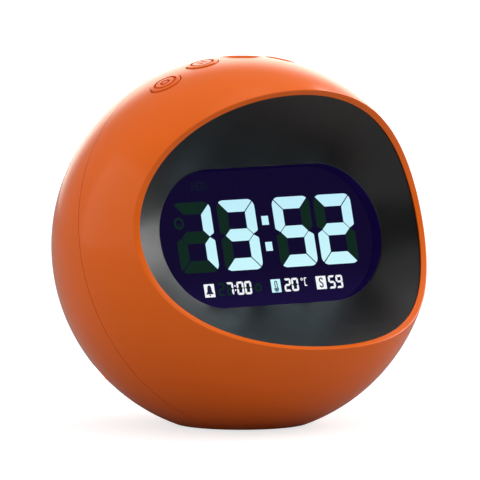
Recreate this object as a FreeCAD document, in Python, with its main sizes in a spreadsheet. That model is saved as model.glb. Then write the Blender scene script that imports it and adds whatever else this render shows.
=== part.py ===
import FreeCAD, Part
import math
import os
from types import SimpleNamespace

import Sketcher
from FreeCAD import Placement, Rotation, Vector

# A ball-shaped digital alarm clock, in millimetres.
#
# The ball is two thin shells that meet at a seam plane square to the face. A concave
# cylinder scoops the face out of the front shell, and a black dish flares from the edge
# of that scoop down to a round-ended window, with the liquid crystal display below it.
# Five sprung buttons sit in an arc over the top, and a battery door closes the back.
#
# Two frames are used. The stand frame has +Z up, the front at -Y and the origin at the
# middle of the foot. The face frame has its origin at the ball's centre, X to the
# clock's right, Y up the face and Z out of the face. Every piece is drawn in the face
# frame, or in a frame of its own about the ball's centre, and is then placed.

SIZES = (
    ("ball_radius", 45.0, "outer radius of the ball"),
    ("wall", 1.6, "wall of both shells"),
    ("flat_cut", 2.9, "bottom of the ball that the flat takes off"),
    ("flat_drop", "=ball_radius - flat_cut", "ball's centre down to the flat of the shells"),
    ("floor_thickness", 2.5, "thickness of the shells over the flat"),
    ("face_tilt", 15.0, "degrees that the face looks up"),
    ("scoop_depth", 28.15, "front pole of the ball to the bottom of the scoop"),
    ("scoop_radius", 37.4, "radius of the cylinder that scoops the face"),
    ("seam_offset", 1.3, "seam plane behind the ball's centre"),
    ("seam_gap", 0.12, "open line between the two shells"),
    ("tongue_height", 1.5, "tongue of the rear shell inside the front one"),
    ("fit_gap", 0.1, "clearance between fixed pieces that fit together"),
    ("boss_angle", 39.8, "direction of the shell screws, degrees above level"),
    ("boss_inset", 4.15, "shell screws' axis inside the inner wall"),
    ("boss_radius", 3.2, "outer radius of the screw bosses"),
    ("boss_drop", 2.8, "front bosses' ends below the bottom of the scoop"),
    ("boss_length", "=ball_radius - scoop_depth - boss_drop + seam_offset - seam_gap / 2", "front bosses"),
    ("shell_screw_radius", 1.2, "shank of a shell screw"),
    ("shell_screw_head", 2.3, "head radius of a shell screw"),
    ("shell_screw_length", 16.0, "shank length of a shell screw"),
    ("counterbore_depth", 8.0, "head seat behind the seam plane"),
    ("window_side", 13.1, "window's ends inside the ball's outline"),
    ("window_rise", 28.45, "window's top and bottom inside the ball's outline"),
    ("window_width", "=(ball_radius - window_side) * 2", "window, end to end"),
    ("window_height", "=(ball_radius - window_rise) * 2", "window, top to bottom"),
    ("window_sink", 3.85, "window edge below the bottom of the scoop"),
    ("window_land", 0.4, "straight edge of the window"),
    ("dish_step", 0.5, "dish below the edge of the scoop"),
    ("dish_wall", 1.8, "dish thickness along the face axis"),
    ("frame_wall", 1.1, "wall of the ring under the window edge"),
    ("recess_depth", 3.9, "window edge down to the display glass"),
    ("lens_thickness", 1.0, "clear lens"),
    ("glass_margin", 1.6, "display glass beyond the window, each side"),
    ("glass_thickness", 1.1, "each of the two display glasses"),
    ("glass_ledge", 2.5, "contact ledge along the top and bottom of the glass"),
    ("backlight_thickness", 2.5, "backlight panel"),
    ("strip_thickness", 1.8, "conductive rubber strips"),
    ("chassis_wall", 1.0, "wall of the display chassis"),
    ("post_spread", 24.0, "distance between the screw posts, side to side"),
    ("post_radius", 1.9, "screw posts on the dish"),
    ("post_low", 1.1, "post ends below the display glass's face"),
    ("tube_radius", 2.3, "screw tubes on the chassis"),
    ("chassis_screw_radius", 1.0, "shank of a chassis screw"),
    ("chassis_screw_head", 1.8, "head radius of a chassis screw"),
    ("chassis_screw_length", 9.5, "shank length of a chassis screw"),
    ("screw_head_height", 1.3, "height of every screw head"),
    ("screw_play", 0.05, "radial clearance of a screw in its hole"),
    ("board_inset", 7.25, "sides of the board inside the window's ends"),
    ("board_width", "=window_width - board_inset * 2", "main circuit board, side to side"),
    ("board_margin", 3.4, "board beyond the screw tubes"),
    ("board_thickness", 1.6, "main circuit board"),
    ("chip_radius", 6.0, "sealed main chip"),
    ("chip_height", 1.8, "sealed main chip"),
    ("capacitor_radius", 2.5, "capacitor on the board"),
    ("capacitor_height", 7.0, "capacitor on the board"),
    ("crystal_radius", 1.5, "crystal on the board"),
    ("crystal_height", 6.0, "crystal on the board"),
    ("parts_across", 14.5, "capacitor and crystal to each side of the board's middle"),
    ("parts_drop", 12.0, "capacitor and crystal below the board's middle"),
    ("socket_width", 8.0, "wire socket on the board"),
    ("socket_depth", 5.0, "wire socket on the board"),
    ("socket_height", 4.5, "wire socket on the board"),
    ("socket_across", 12.0, "wire sockets to each side of the board's middle"),
    ("socket_up", 9.0, "wire sockets above the board's middle"),
    ("sensor_radius", 1.2, "temperature sensor"),
    ("sensor_height", 4.0, "temperature sensor"),
    ("sensor_below", 4.5, "temperature sensor below the window"),
    ("sensor_drop", "=window_height / 2 + sensor_below", "temperature sensor below the board's middle"),
    ("button_radius", 3.75, "small buttons"),
    ("centre_button_radius", 4.75, "large centre button"),
    ("button_gap", 0.15, "running gap round a button"),
    ("button_travel", 0.8, "how far a button is pressed"),
    ("button_spacing", 14.5, "degrees between neighbouring buttons"),
    ("button_bevel", 0.2, "worn edge of a button"),
    ("button_ring_radius", 2.6, "engraved ring on a small button"),
    ("button_ring_width", 0.3, "engraved ring on a small button"),
    ("button_ring_depth", 0.25, "engraved ring on a small button"),
    ("centre_dish_radius", 3.7, "finger dish of the centre button"),
    ("centre_dish_depth", 0.55, "finger dish of the centre button"),
    ("flange_drop", 0.7, "button flange below the inner wall"),
    ("flange_thickness", 0.8, "button flange"),
    ("flange_overlap", 0.6, "button flange beyond the button"),
    ("stem_radius", 1.6, "button stem"),
    ("stem_reach", 0.4, "button stem inside its switch, at rest"),
    ("stem_spare", 0.6, "room under the stem of a pressed button"),
    ("switch_sink", 7.2, "top of the switches below the ball's skin"),
    ("switch_top", "=ball_radius - switch_sink", "top of the switches, from the ball's centre"),
    ("switch_side", 6.0, "side of a switch"),
    ("switch_height", 3.4, "height of a switch"),
    ("carrier_thickness", 1.4, "button carrier"),
    ("carrier_width", 11.0, "button carrier, front to back"),
    ("carrier_clearance", 1.0, "degrees of arc between the outer buttons and the feet"),
    ("carrier_foot", 3.0, "degrees of arc in each foot"),
    ("cell_radius", 5.25, "battery cell"),
    ("cell_length", 43.7, "battery cell without its nub"),
    ("nub_radius", 1.9, "nub of a battery cell"),
    ("nub_length", 0.8, "nub of a battery cell"),
    ("cell_pitch", 11.2, "distance between the cells' axes"),
    ("cell_play", 0.6, "room beyond the outer cells"),
    ("plate_thickness", 0.5, "flat battery contacts"),
    ("spring_length", 4.6, "bowed battery contacts, as fitted"),
    ("spring_height", 9.0, "bowed battery contacts, on the wall of the well"),
    ("spring_tip", 3.0, "bowed battery contacts, on the cell"),
    ("spring_width", 6.0, "bowed battery contacts, along their bend"),
    ("well_depth", 27.0, "rear pole of the ball to the battery floor"),
    ("well_wall", 2.4, "walls of the battery well"),
    ("well_floor", 1.6, "floor of the battery well"),
    ("door_lip", 1.3, "battery door beyond the well, each side"),
    ("door_corner", 5.0, "corner radius of the battery door"),
    ("door_gap", 0.15, "gap round the battery door"),
    ("door_rib", 1.6, "ribs of the battery door"),
    ("rib_spread", 22.0, "distance between the battery door's ribs"),
    ("notch_radius", 6.0, "finger notch of the battery door"),
    ("notch_depth", 1.0, "finger notch of the battery door"),
    ("foot_radius", 13.5, "rubber foot"),
    ("foot_proud", 0.3, "rubber foot below the shells"),
    ("foot_recess", 0.9, "recess of the rubber foot"),
    ("buzzer_angle", 55.0, "buzzer above the rear pole, degrees"),
    ("buzzer_radius", 6.0, "buzzer"),
    ("buzzer_height", 5.0, "buzzer"),
    ("buzzer_port", 1.5, "radius and depth of the buzzer's port"),
    ("holder_wall", 1.0, "buzzer holder"),
    ("sound_hole_radius", 0.7, "sound holes"),
    ("sound_ring_radius", 3.2, "ring of sound holes"),
)
SOUND_HOLES = 6
CELLS = 3


class Size:
    """A length that keeps its formula in the sheet beside its present value."""

    def __init__(self, formula, value):
        self.formula = formula
        self.value = value

    @staticmethod
    def of(length):
        """Any number as a Size."""
        return length if isinstance(length, Size) else Size(repr(float(length)), float(length))

    def joined(self, other, sign, value):
        """This size and another in one formula."""
        return Size("(%s %s %s)" % (self.formula, sign, other.formula), value)

    def __add__(self, other):
        other = Size.of(other)
        return self.joined(other, "+", self.value + other.value)

    def __sub__(self, other):
        other = Size.of(other)
        return self.joined(other, "-", self.value - other.value)

    def __mul__(self, other):
        other = Size.of(other)
        return self.joined(other, "*", self.value * other.value)

    def __truediv__(self, other):
        other = Size.of(other)
        return self.joined(other, "/", self.value / other.value)

    def __neg__(self):
        return Size("(0 - %s)" % self.formula, -self.value)


def root(size):
    """Square root of a size."""
    return Size("sqrt(%s)" % size.formula, math.sqrt(size.value))


def height_on_ball(radius, across):
    """Height of a sphere of this radius at a distance across from its axis."""
    return root(radius * radius - across * across)


# ---------------------------------------------------------------- the sheet of sizes

DOC = FreeCAD.newDocument("BallAlarmClock")
SHEET = DOC.addObject("Spreadsheet::Sheet", "Sizes")
for row, (alias, number, note) in enumerate(SIZES, start=1):
    SHEET.set("A%d" % row, note)
    SHEET.set("B%d" % row, str(number))
    SHEET.setAlias("B%d" % row, alias)
DOC.recompute()
D = SimpleNamespace(**{alias: Size("Sizes." + alias, float(SHEET.get(alias))) for alias, *rest in SIZES})

# Sizes that follow from the sheet.
INNER = D.ball_radius - D.wall
FAR = D.ball_radius * 2
SCOOP_BOTTOM = D.ball_radius - D.scoop_depth
SCOOP_AXIS = SCOOP_BOTTOM + D.scoop_radius
WINDOW_PLANE = SCOOP_BOTTOM - D.window_sink
DISH_RADIUS = INNER - D.fit_gap
GLASS_FACE = WINDOW_PLANE - D.recess_depth
GLASS_BACK = GLASS_FACE - D.glass_thickness
BACKLIGHT_FACE = GLASS_BACK - D.glass_thickness
BOARD_FACE = BACKLIGHT_FACE - D.backlight_thickness
BOARD_BACK = BOARD_FACE - D.board_thickness
GLASS_WIDTH = D.window_width + D.glass_margin * 2
GLASS_HEIGHT = D.window_height + D.glass_margin * 2
CHASSIS_WIDTH = GLASS_WIDTH + (D.fit_gap + D.chassis_wall) * 2
CHASSIS_HEIGHT = GLASS_HEIGHT + (D.fit_gap + D.chassis_wall) * 2
POST_ACROSS = D.post_spread / 2
POST_UP = CHASSIS_HEIGHT / 2 + D.fit_gap + D.post_radius
POST_END = GLASS_FACE - D.post_low
BOARD_HEIGHT = (POST_UP + D.board_margin) * 2
FRONT_SEAM = D.seam_gap / 2 - D.seam_offset
REAR_SEAM = -D.seam_gap / 2 - D.seam_offset
WELL_WIDTH = D.nub_length + D.cell_length + D.spring_length + D.plate_thickness + D.fit_gap * 4
WELL_HEIGHT = D.cell_pitch * (CELLS - 1) + (D.cell_radius + D.cell_play) * 2
WELL_FACE = D.well_depth - D.ball_radius
CELL_AXIS = WELL_FACE - D.fit_gap - D.cell_radius
DOOR_WIDTH = WELL_WIDTH + D.door_lip * 2
DOOR_HEIGHT = WELL_HEIGHT + D.door_lip * 2
STEM_BOTTOM = D.switch_top - D.stem_reach
SWITCH_WELL = D.stem_reach + D.button_travel + D.stem_spare
CARRIER_OUTSIDE = D.switch_top - D.switch_height
CARRIER_INSIDE = CARRIER_OUTSIDE - D.carrier_thickness
BALL_HEIGHT = D.flat_drop + D.foot_proud

CENTRE = Placement(Vector(0, 0, BALL_HEIGHT.value), Rotation())
TILT = Placement(Vector(), Rotation(Vector(1, 0, 0), 90 - D.face_tilt.value))
FACE = CENTRE * TILT
BUTTONS = (
    ("left_outer_button", -2),
    ("left_inner_button", -1),
    ("centre_button", 0),
    ("right_inner_button", 1),
    ("right_outer_button", 2),
)
OUTER_STEP = max(step for label, step in BUTTONS)


def leaned(step):
    """Frame at the ball's centre whose Z points through a button, from the stand frame."""
    return Placement(Vector(), Rotation(Vector(0, 1, 0), step * D.button_spacing.value))


def shifted(across=0, up=0, out=0):
    """Placement that only moves."""
    return Placement(Vector(Size.of(across).value, Size.of(up).value, Size.of(out).value), Rotation())


def boss_places():
    """Where the four shell screws cross the seam plane."""
    ring = INNER.value - D.boss_inset.value
    angle = math.radians(D.boss_angle.value)
    across = ring * math.cos(angle)
    up = ring * math.sin(angle)
    return [(side * across, level * up) for side in (-1, 1) for level in (-1, 1)]


def post_places():
    """Where the four chassis screws stand."""
    return [(POST_ACROSS * side, POST_UP * level) for side in (-1, 1) for level in (-1, 1)]


# ---------------------------------------------------------------- primitives and booleans

def bind(feature, **sizes):
    """Tie properties of a feature to the sheet."""
    for name, size in sizes.items():
        feature.setExpression(name, Size.of(size).formula)


def ball(name, radius, pole=Vector(0, 0, 1)):
    """Sphere about the origin, with its poles where no kept face has its middle."""
    feature = DOC.addObject("Part::Sphere", name)
    bind(feature, Radius=radius)
    feature.Placement = Placement(Vector(), Rotation(Vector(0, 0, 1), pole))
    return feature


def rod(name, radius, low, high, frame=None, across=0, up=0):
    """Upright cylinder of a frame, from a low to a high level."""
    feature = DOC.addObject("Part::Cylinder", name)
    low = Size.of(low)
    bind(feature, Radius=radius, Height=Size.of(high) - low)
    feature.Placement = (frame or Placement()) * shifted(across, up, low)
    return feature


def slab(name, low, high, frame=None):
    """Everything between two levels of a frame."""
    feature = DOC.addObject("Part::Box", name)
    low = Size.of(low)
    bind(feature, Length=FAR * 2, Width=FAR * 2, Height=Size.of(high) - low)
    feature.Placement = (frame or Placement()) * shifted(-FAR, -FAR, low)
    return feature


def fuse(name, parts):
    feature = DOC.addObject("Part::MultiFuse", name)
    feature.Shapes = parts
    return feature


def common(name, parts):
    feature = DOC.addObject("Part::MultiCommon", name)
    feature.Shapes = parts
    return feature


def cut(name, base, tools):
    feature = DOC.addObject("Part::Cut", name)
    feature.Base = base
    feature.Tool = tools[0] if len(tools) == 1 else fuse(name + "Tools", tools)
    return feature


def group(name, parts):
    feature = DOC.addObject("Part::Compound", name)
    feature.Links = parts
    return feature


# ---------------------------------------------------------------- sketches and bodies

def hold(sketch, axis, edge, end, size):
    """Fix one coordinate of a sketch point, tied to the sheet."""
    if abs(size.value) < 1e-9:
        axis_line = -2 if axis == "DistanceX" else -1
        sketch.addConstraint(Sketcher.Constraint("PointOnObject", edge, end, axis_line))
        return
    number = sketch.addConstraint(Sketcher.Constraint(axis, -1, 1, edge, end, size.value))
    sketch.setExpression("Constraints[%d]" % number, size.formula)


def draw(sketch, corners, arcs=None):
    """Closed outline through the corners.

    arcs maps the number of an edge to its centre and to True where it turns left.
    """
    arcs = arcs or {}
    corners = [(Size.of(across), Size.of(up)) for across, up in corners]
    count = len(corners)
    first_end = []
    last_end = []
    for number, corner in enumerate(corners):
        following = corners[(number + 1) % count]
        start = Vector(corner[0].value, corner[1].value, 0)
        end = Vector(following[0].value, following[1].value, 0)
        if number not in arcs:
            edge = sketch.addGeometry(Part.LineSegment(start, end), False)
            first_end.append((edge, 1))
            last_end.append((edge, 2))
            continue
        centre_across, centre_up, leftwards = arcs[number]
        centre = Vector(Size.of(centre_across).value, Size.of(centre_up).value, 0)
        if not leftwards:
            start, end = end, start
        begin_angle = math.atan2(start.y - centre.y, start.x - centre.x)
        finish_angle = math.atan2(end.y - centre.y, end.x - centre.x)
        circle = Part.Circle(centre, Vector(0, 0, 1), (start - centre).Length)
        edge = sketch.addGeometry(Part.ArcOfCircle(circle, begin_angle, finish_angle), False)
        first_end.append((edge, 1 if leftwards else 2))
        last_end.append((edge, 2 if leftwards else 1))
        hold(sketch, "DistanceX", edge, 3, Size.of(centre_across))
    for number in range(count):
        edge, end = last_end[number]
        next_edge, next_end = first_end[(number + 1) % count]
        sketch.addConstraint(Sketcher.Constraint("Coincident", edge, end, next_edge, next_end))
    for (edge, end), (across, up) in zip(first_end, corners):
        hold(sketch, "DistanceX", edge, end, across)
        hold(sketch, "DistanceY", edge, end, up)


def draw_circle(sketch, radius, across=0, up=0):
    """Circle with its centre and radius tied to the sheet."""
    radius = Size.of(radius)
    across = Size.of(across)
    up = Size.of(up)
    centre = Vector(across.value, up.value, 0)
    edge = sketch.addGeometry(Part.Circle(centre, Vector(0, 0, 1), radius.value), False)
    number = sketch.addConstraint(Sketcher.Constraint("Radius", edge, radius.value))
    sketch.setExpression("Constraints[%d]" % number, radius.formula)
    hold(sketch, "DistanceX", edge, 3, across)
    hold(sketch, "DistanceY", edge, 3, up)


def rectangle(width, height, across=0, up=0):
    """Rectangle about a point."""
    across = Size.of(across)
    up = Size.of(up)
    left, right = across - width / 2, across + width / 2
    low, high = up - height / 2, up + height / 2
    return [(left, low), (right, low), (right, high), (left, high)], {}


def rounded(width, height, radius):
    """Rectangle with round corners, about the origin."""
    across = width / 2
    up = height / 2
    near_across = across - radius
    near_up = up - radius
    corners = [
        (-near_across, -up), (near_across, -up), (across, -near_up), (across, near_up),
        (near_across, up), (-near_across, up), (-across, near_up), (-across, -near_up),
    ]
    arcs = {
        1: (near_across, -near_up, True),
        3: (near_across, near_up, True),
        5: (-near_across, near_up, True),
        7: (-near_across, -near_up, True),
    }
    return corners, arcs


def stadium(grow=0):
    """Outline of the window, grown all round."""
    end = D.window_height / 2
    across = D.window_width / 2 - end
    up = end + grow
    corners = [(-across, -up), (across, -up), (across, up), (-across, up)]
    return corners, {1: (across, 0, True), 3: (-across, 0, True)}


def new_body(label):
    body = DOC.addObject("PartDesign::Body", label)
    body.Label = label
    return body


def body_sketch(body, name, role="XY_Plane", out=0):
    """Sketch on one of a body's own origin planes, moved out along its normal."""
    plane = [item for item in body.Origin.OriginFeatures if item.Role == role][0]
    sketch = body.newObject("Sketcher::SketchObject", name)
    sketch.AttachmentSupport = [(plane, "")]
    sketch.MapMode = "FlatFace"
    sketch.setExpression("AttachmentOffset.Base.z", Size.of(out).formula)
    return sketch


def pad(body, sketch, height):
    feature = body.newObject("PartDesign::Pad", sketch.Name + "Pad")
    feature.Profile = sketch
    bind(feature, Length=height)
    sketch.Visibility = False
    return feature


def pocket(body, sketch, depth):
    """Pocket that runs from its sketch along -Z."""
    feature = body.newObject("PartDesign::Pocket", sketch.Name + "Pocket")
    feature.Profile = sketch
    bind(feature, Length=depth)
    return feature


def padded_body(label, outlines, circles, low, high):
    """Body padded from a low to a high level through outlines and round holes."""
    body = new_body(label)
    sketch = body_sketch(body, label + "_outline", out=low)
    for corners, arcs in outlines:
        draw(sketch, corners, arcs)
    for radius, across, up in circles:
        draw_circle(sketch, radius, across, up)
    pad(body, sketch, Size.of(high) - low)
    return body


def turned_body(label, corners, arcs=None):
    """Body turned about Z from a half profile in the XZ plane."""
    body = new_body(label)
    sketch = body_sketch(body, label + "_profile", "XZ_Plane")
    draw(sketch, corners, arcs)
    feature = body.newObject("PartDesign::Revolution", label + "_turn")
    feature.Profile = sketch
    feature.ReferenceAxis = (sketch, ["V_Axis"])
    feature.Angle = 360
    return body


def prism(name, outline, low, high):
    """Upright prism of the face frame, used as a tool."""
    corners, arcs = outline
    sketch = DOC.addObject("Sketcher::SketchObject", name + "Outline")
    draw(sketch, corners, arcs)
    sketch.setExpression("Placement.Base.z", Size.of(low).formula)
    feature = DOC.addObject("Part::Extrusion", name)
    feature.Base = sketch
    feature.DirMode = "Custom"
    feature.Dir = Vector(0, 0, 1)
    feature.Solid = True
    bind(feature, LengthFwd=Size.of(high) - low)
    return feature


NODES = {}


def keep(feature, label, placement=None):
    """Register a finished piece under its node name, in its place on the stand."""
    feature.Label = label
    if placement is not None:
        feature.Placement = placement
    NODES[label] = feature
    return feature


# ---------------------------------------------------------------- tools shared by the shells

STAND = TILT.inverse()
ACROSS = Vector(1, 0, 0)


def inside_of_shells():
    """Hollow of the ball, flat over its floor."""
    above_floor = slab("AboveFloor", D.floor_thickness - D.flat_drop, FAR, STAND)
    return common("Hollow", [ball("HollowBall", INNER), above_floor])


def below_flat():
    return slab("BelowFlat", -FAR, -D.flat_drop, STAND)


def foot_recess():
    radius = D.foot_radius + D.fit_gap
    return rod("FootRecess", radius, -FAR, D.foot_recess - D.flat_drop, STAND)


def scoop(name, grow=0):
    """Cylinder that lies across the face."""
    feature = DOC.addObject("Part::Cylinder", name)
    bind(feature, Radius=D.scoop_radius + grow, Height=FAR * 2)
    axis = Placement(Vector(-FAR.value, 0, SCOOP_AXIS.value), Rotation(Vector(0, 1, 0), 90))
    feature.Placement = axis
    return feature


# ---------------------------------------------------------------- front shell

def front_shell():
    """Front of the ball, with the scooped face, the button holes and four bosses."""
    blank = common("FrontBlank", [ball("FrontBall", D.ball_radius), slab("Front", FRONT_SEAM, FAR)])
    rebate_ball = ball("RebateBall", D.ball_radius - D.wall / 2)
    rebate_depth = slab("RebateDepth", -FAR, REAR_SEAM + D.tongue_height + D.fit_gap)
    rebate = common("Rebate", [rebate_ball, rebate_depth])
    wall = cut("FrontWall", blank, [inside_of_shells(), rebate])
    bosses = []
    pilots = []
    for across, up in boss_places():
        top = FRONT_SEAM + D.boss_length
        pilot = D.shell_screw_radius + D.screw_play
        bosses.append(rod("Boss", D.boss_radius, FRONT_SEAM, top, None, across, up))
        pilots.append(rod("Pilot", pilot, -FAR, top - D.wall, None, across, up))
    boss_ball = ball("BossBall", D.ball_radius - D.wall / 2)
    trimmed = common("FrontBosses", [fuse("BossRods", bosses), boss_ball])
    holes = []
    for label, step in BUTTONS:
        radius = D.centre_button_radius if step == 0 else D.button_radius
        holes.append(rod("ButtonHole", radius + D.button_gap, D.switch_top, FAR, STAND * leaned(step)))
    tools = [scoop("Scoop"), below_flat(), foot_recess()] + pilots + holes
    return cut("FrontShell", fuse("FrontSolid", [wall, trimmed]), tools)


# ---------------------------------------------------------------- rear shell

def buzzer_frame():
    """Frame at the ball's centre whose Z points at the buzzer, from the face frame."""
    return Placement(Vector(), Rotation(Vector(1, 0, 0), 180 + D.buzzer_angle.value))


def sound_holes():
    """A middle hole with a ring of holes round it."""
    frame = buzzer_frame()
    holes = [rod("SoundHole", D.sound_hole_radius, INNER - D.wall, FAR, frame)]
    for number in range(SOUND_HOLES):
        angle = 2 * math.pi * number / SOUND_HOLES
        across = D.sound_ring_radius * math.cos(angle)
        up = D.sound_ring_radius * math.sin(angle)
        holes.append(rod("SoundHole", D.sound_hole_radius, INNER - D.wall, FAR, frame, across, up))
    return holes


def rear_shell():
    """Back of the ball, with the battery well, screw tubes, tongue and buzzer holder."""
    blank = common("RearBlank", [ball("RearBall", D.ball_radius), slab("Rear", -FAR, REAR_SEAM)])
    tongue_ball = ball("TongueBall", D.ball_radius - D.wall / 2 - D.fit_gap)
    tongue_slab = slab("TongueSlab", -D.ball_radius, REAR_SEAM + D.tongue_height)
    tongue = common("Tongue", [tongue_ball, tongue_slab])
    wall = cut("RearWall", fuse("RearOuter", [blank, tongue]), [inside_of_shells()])
    grown = D.well_wall * 2
    well_outline = rounded(WELL_WIDTH + grown, WELL_HEIGHT + grown, D.door_corner)
    inner_parts = [prism("WellBlock", well_outline, -FAR, WELL_FACE + D.well_floor)]
    shanks = []
    for across, up in boss_places():
        inner_parts.append(rod("ScrewTube", D.boss_radius, -FAR, REAR_SEAM, None, across, up))
        hole = D.shell_screw_radius + D.screw_play
        head = D.shell_screw_head + D.screw_play * 2
        seat = REAR_SEAM - D.counterbore_depth
        shanks.append(rod("ShankHole", hole, -FAR, FAR, None, across, up))
        shanks.append(rod("HeadHole", head, -FAR, seat, None, across, up))
    holder_radius = D.buzzer_radius + D.fit_gap + D.holder_wall
    holder_low = INNER - D.wall - D.buzzer_height
    inner_parts.append(rod("Holder", holder_radius, holder_low, FAR, buzzer_frame()))
    inner_ball = ball("InnerPartsBall", D.ball_radius - D.wall / 2)
    inner_solids = common("InnerParts", [fuse("InnerRods", inner_parts), inner_ball])
    well_hole = prism("WellHole", rectangle(WELL_WIDTH, WELL_HEIGHT), -FAR, WELL_FACE)
    gap = D.door_gap * 2
    door_outline = rounded(DOOR_WIDTH + gap, DOOR_HEIGHT + gap, D.door_corner)
    door_hole = prism("DoorHole", door_outline, -FAR, WELL_FACE)
    door_seat = cut("DoorSeat", door_hole, [ball("SeatBall", INNER - D.fit_gap / 2)])
    buzzer_room = D.buzzer_radius + D.fit_gap
    buzzer_hole = rod("BuzzerHole", buzzer_room, holder_low - D.holder_wall, INNER - D.wall, buzzer_frame())
    tools = [well_hole, door_seat, buzzer_hole, below_flat(), foot_recess()] + shanks + sound_holes()
    return cut("RearShell", fuse("RearSolid", [wall, inner_solids]), tools)


# ---------------------------------------------------------------- the dish round the window

RIM_STEPS = 6


def rim_point(turn, side, level):
    """Point of the dish's upper edge, where the stepped scoop meets the ball.

    turn runs from 0 above a window end's middle to 1 at the far end of the dish.
    """
    radius = DISH_RADIUS.value
    axis = SCOOP_AXIS.value
    bore = D.scoop_radius.value + D.dish_step.value
    widest = math.sqrt(radius ** 2 - (axis - bore) ** 2)
    end_middle = (D.window_width.value - D.window_height.value) / 2
    across = end_middle + (widest - end_middle) * math.sin(turn * math.pi / 2)
    out = (axis ** 2 - bore ** 2 + radius ** 2 - across ** 2) / (2 * axis)
    up = math.sqrt(max(radius ** 2 - across ** 2 - out ** 2, 0))
    return Vector(side * across, level * up, out)


def window_point(turn, side, level):
    """Point of the window's edge that a straight line joins to the rim point."""
    radius = D.window_height.value / 2
    end_middle = D.window_width.value / 2 - radius
    angle = turn * math.pi / 2
    across = end_middle + radius * math.sin(angle)
    return Vector(side * across, level * radius * math.cos(angle), WINDOW_PLANE.value)


def flare_point(turn, side, level):
    """Where the line from the window's edge through the rim meets the mouth plane."""
    start = window_point(turn, side, level)
    rim = rim_point(turn, side, level)
    share = (D.ball_radius.value - start.z) / (rim.z - start.z)
    return start + (rim - start) * share


def end_curve(point_of, side):
    """Half-round end of an outline, from its top to its bottom."""
    points = [point_of(step / RIM_STEPS, side, 1) for step in range(RIM_STEPS + 1)]
    points += [point_of(step / RIM_STEPS, side, -1) for step in reversed(range(RIM_STEPS))]
    curve = Part.BSplineCurve()
    curve.interpolate(Points=points, Parameters=[float(number) for number in range(len(points))])
    return curve


def outline_wire(point_of, name):
    """Closed outline of two half-round ends and two straight sides."""
    right = end_curve(point_of, 1)
    left = end_curve(point_of, -1)
    left.reverse()
    edges = [
        Part.LineSegment(point_of(0, -1, 1), point_of(0, 1, 1)).toShape(),
        right.toShape(),
        Part.LineSegment(point_of(0, 1, -1), point_of(0, -1, -1)).toShape(),
        left.toShape(),
    ]
    feature = DOC.addObject("Part::Feature", name)
    feature.Shape = Part.Wire(edges)
    return feature


def flare(name, sink):
    """Solid bounded by the straight lines between the window's edge and the mouth."""
    mouth = outline_wire(flare_point, name + "Mouth")
    window = outline_wire(window_point, name + "Window")
    loft = DOC.addObject("Part::Loft", name)
    loft.Sections = [window, mouth]
    loft.Solid = True
    loft.Ruled = True
    loft.Placement = shifted(out=-sink)
    return loft


def face_bezel():
    """Black dish with a round-ended window and four screw posts behind."""
    outer = common("DishOuter", [flare("DishBack", D.dish_wall), ball("DishBall", DISH_RADIUS)])
    posts = []
    pilots = []
    for across, up in post_places():
        posts.append(rod("Post", D.post_radius, POST_END, D.ball_radius, None, across, up))
        hole = D.chassis_screw_radius + D.screw_play
        pilots.append(rod("PostPilot", hole, -FAR, WINDOW_PLANE + D.dish_wall, None, across, up))
    window = prism("WindowHole", stadium(), -FAR, FAR)
    ring_seat = prism("RingSeat", stadium(D.frame_wall + D.fit_gap), -FAR, WINDOW_PLANE - D.window_land)
    tools = [flare("DishFace", Size.of(0)), window, ring_seat] + pilots
    return cut("FaceBezel", fuse("BezelSolid", [outer] + posts), tools)


# ---------------------------------------------------------------- display

def display_pieces():
    """Ring, lens, glasses, backlight and contact strips, one above the other."""
    ring_top = WINDOW_PLANE - D.window_land
    frame = padded_body("window_frame", [stadium(), stadium(D.frame_wall)], [], GLASS_FACE, ring_top)
    lens_low = ring_top - D.lens_thickness
    lens = padded_body("display_lens", [stadium(-D.fit_gap / 2)], [], lens_low, ring_top)
    sheet = rectangle(GLASS_WIDTH, GLASS_HEIGHT)
    short_sheet = rectangle(GLASS_WIDTH, GLASS_HEIGHT - D.glass_ledge * 2)
    front = padded_body("lcd_front_glass", [sheet], [], GLASS_BACK, GLASS_FACE)
    rear = padded_body("lcd_rear_glass", [short_sheet], [], BACKLIGHT_FACE, GLASS_BACK)
    light = padded_body("backlight_panel", [short_sheet], [], BOARD_FACE, BACKLIGHT_FACE)
    strips = []
    for level in (-1, 1):
        middle = (GLASS_HEIGHT / 2 - D.glass_ledge / 2) * level
        outline = rectangle(D.window_width, D.strip_thickness, up=middle)
        strips.append(padded_body("ContactStrip", [outline], [], BOARD_FACE, GLASS_BACK))
    for piece in (frame, lens, front, rear, light):
        keep(piece, piece.Label, FACE)
    keep(group("ContactStrips", strips), "contact_strips", FACE)


def display_chassis():
    """Frame round the glasses and the backlight, with four screw tubes."""
    inside = rectangle(GLASS_WIDTH + D.fit_gap * 2, GLASS_HEIGHT + D.fit_gap * 2)
    outside = rectangle(CHASSIS_WIDTH, CHASSIS_HEIGHT)
    frame = padded_body("ChassisFrame", [inside, outside], [], BOARD_FACE, GLASS_FACE)
    tubes = []
    holes = []
    for across, up in post_places():
        tubes.append(rod("Tube", D.tube_radius, BOARD_FACE, POST_END, None, across, up))
        hole = D.chassis_screw_radius + D.screw_play
        holes.append(rod("TubeHole", hole, -FAR, FAR, None, across, up))
    hollow = prism("ChassisHollow", inside, -FAR, FAR)
    return cut("Chassis", fuse("ChassisSolid", [frame] + tubes), holes + [hollow])


# ---------------------------------------------------------------- circuit board

def main_board():
    """Circuit board behind the display, on the four chassis screws."""
    hole = D.chassis_screw_radius + D.screw_play
    circles = [(hole, across, up) for across, up in post_places()]
    outline = rounded(D.board_width, BOARD_HEIGHT, D.board_margin / 2)
    return padded_body("main_board", [outline], circles, BOARD_BACK, BOARD_FACE)


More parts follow.
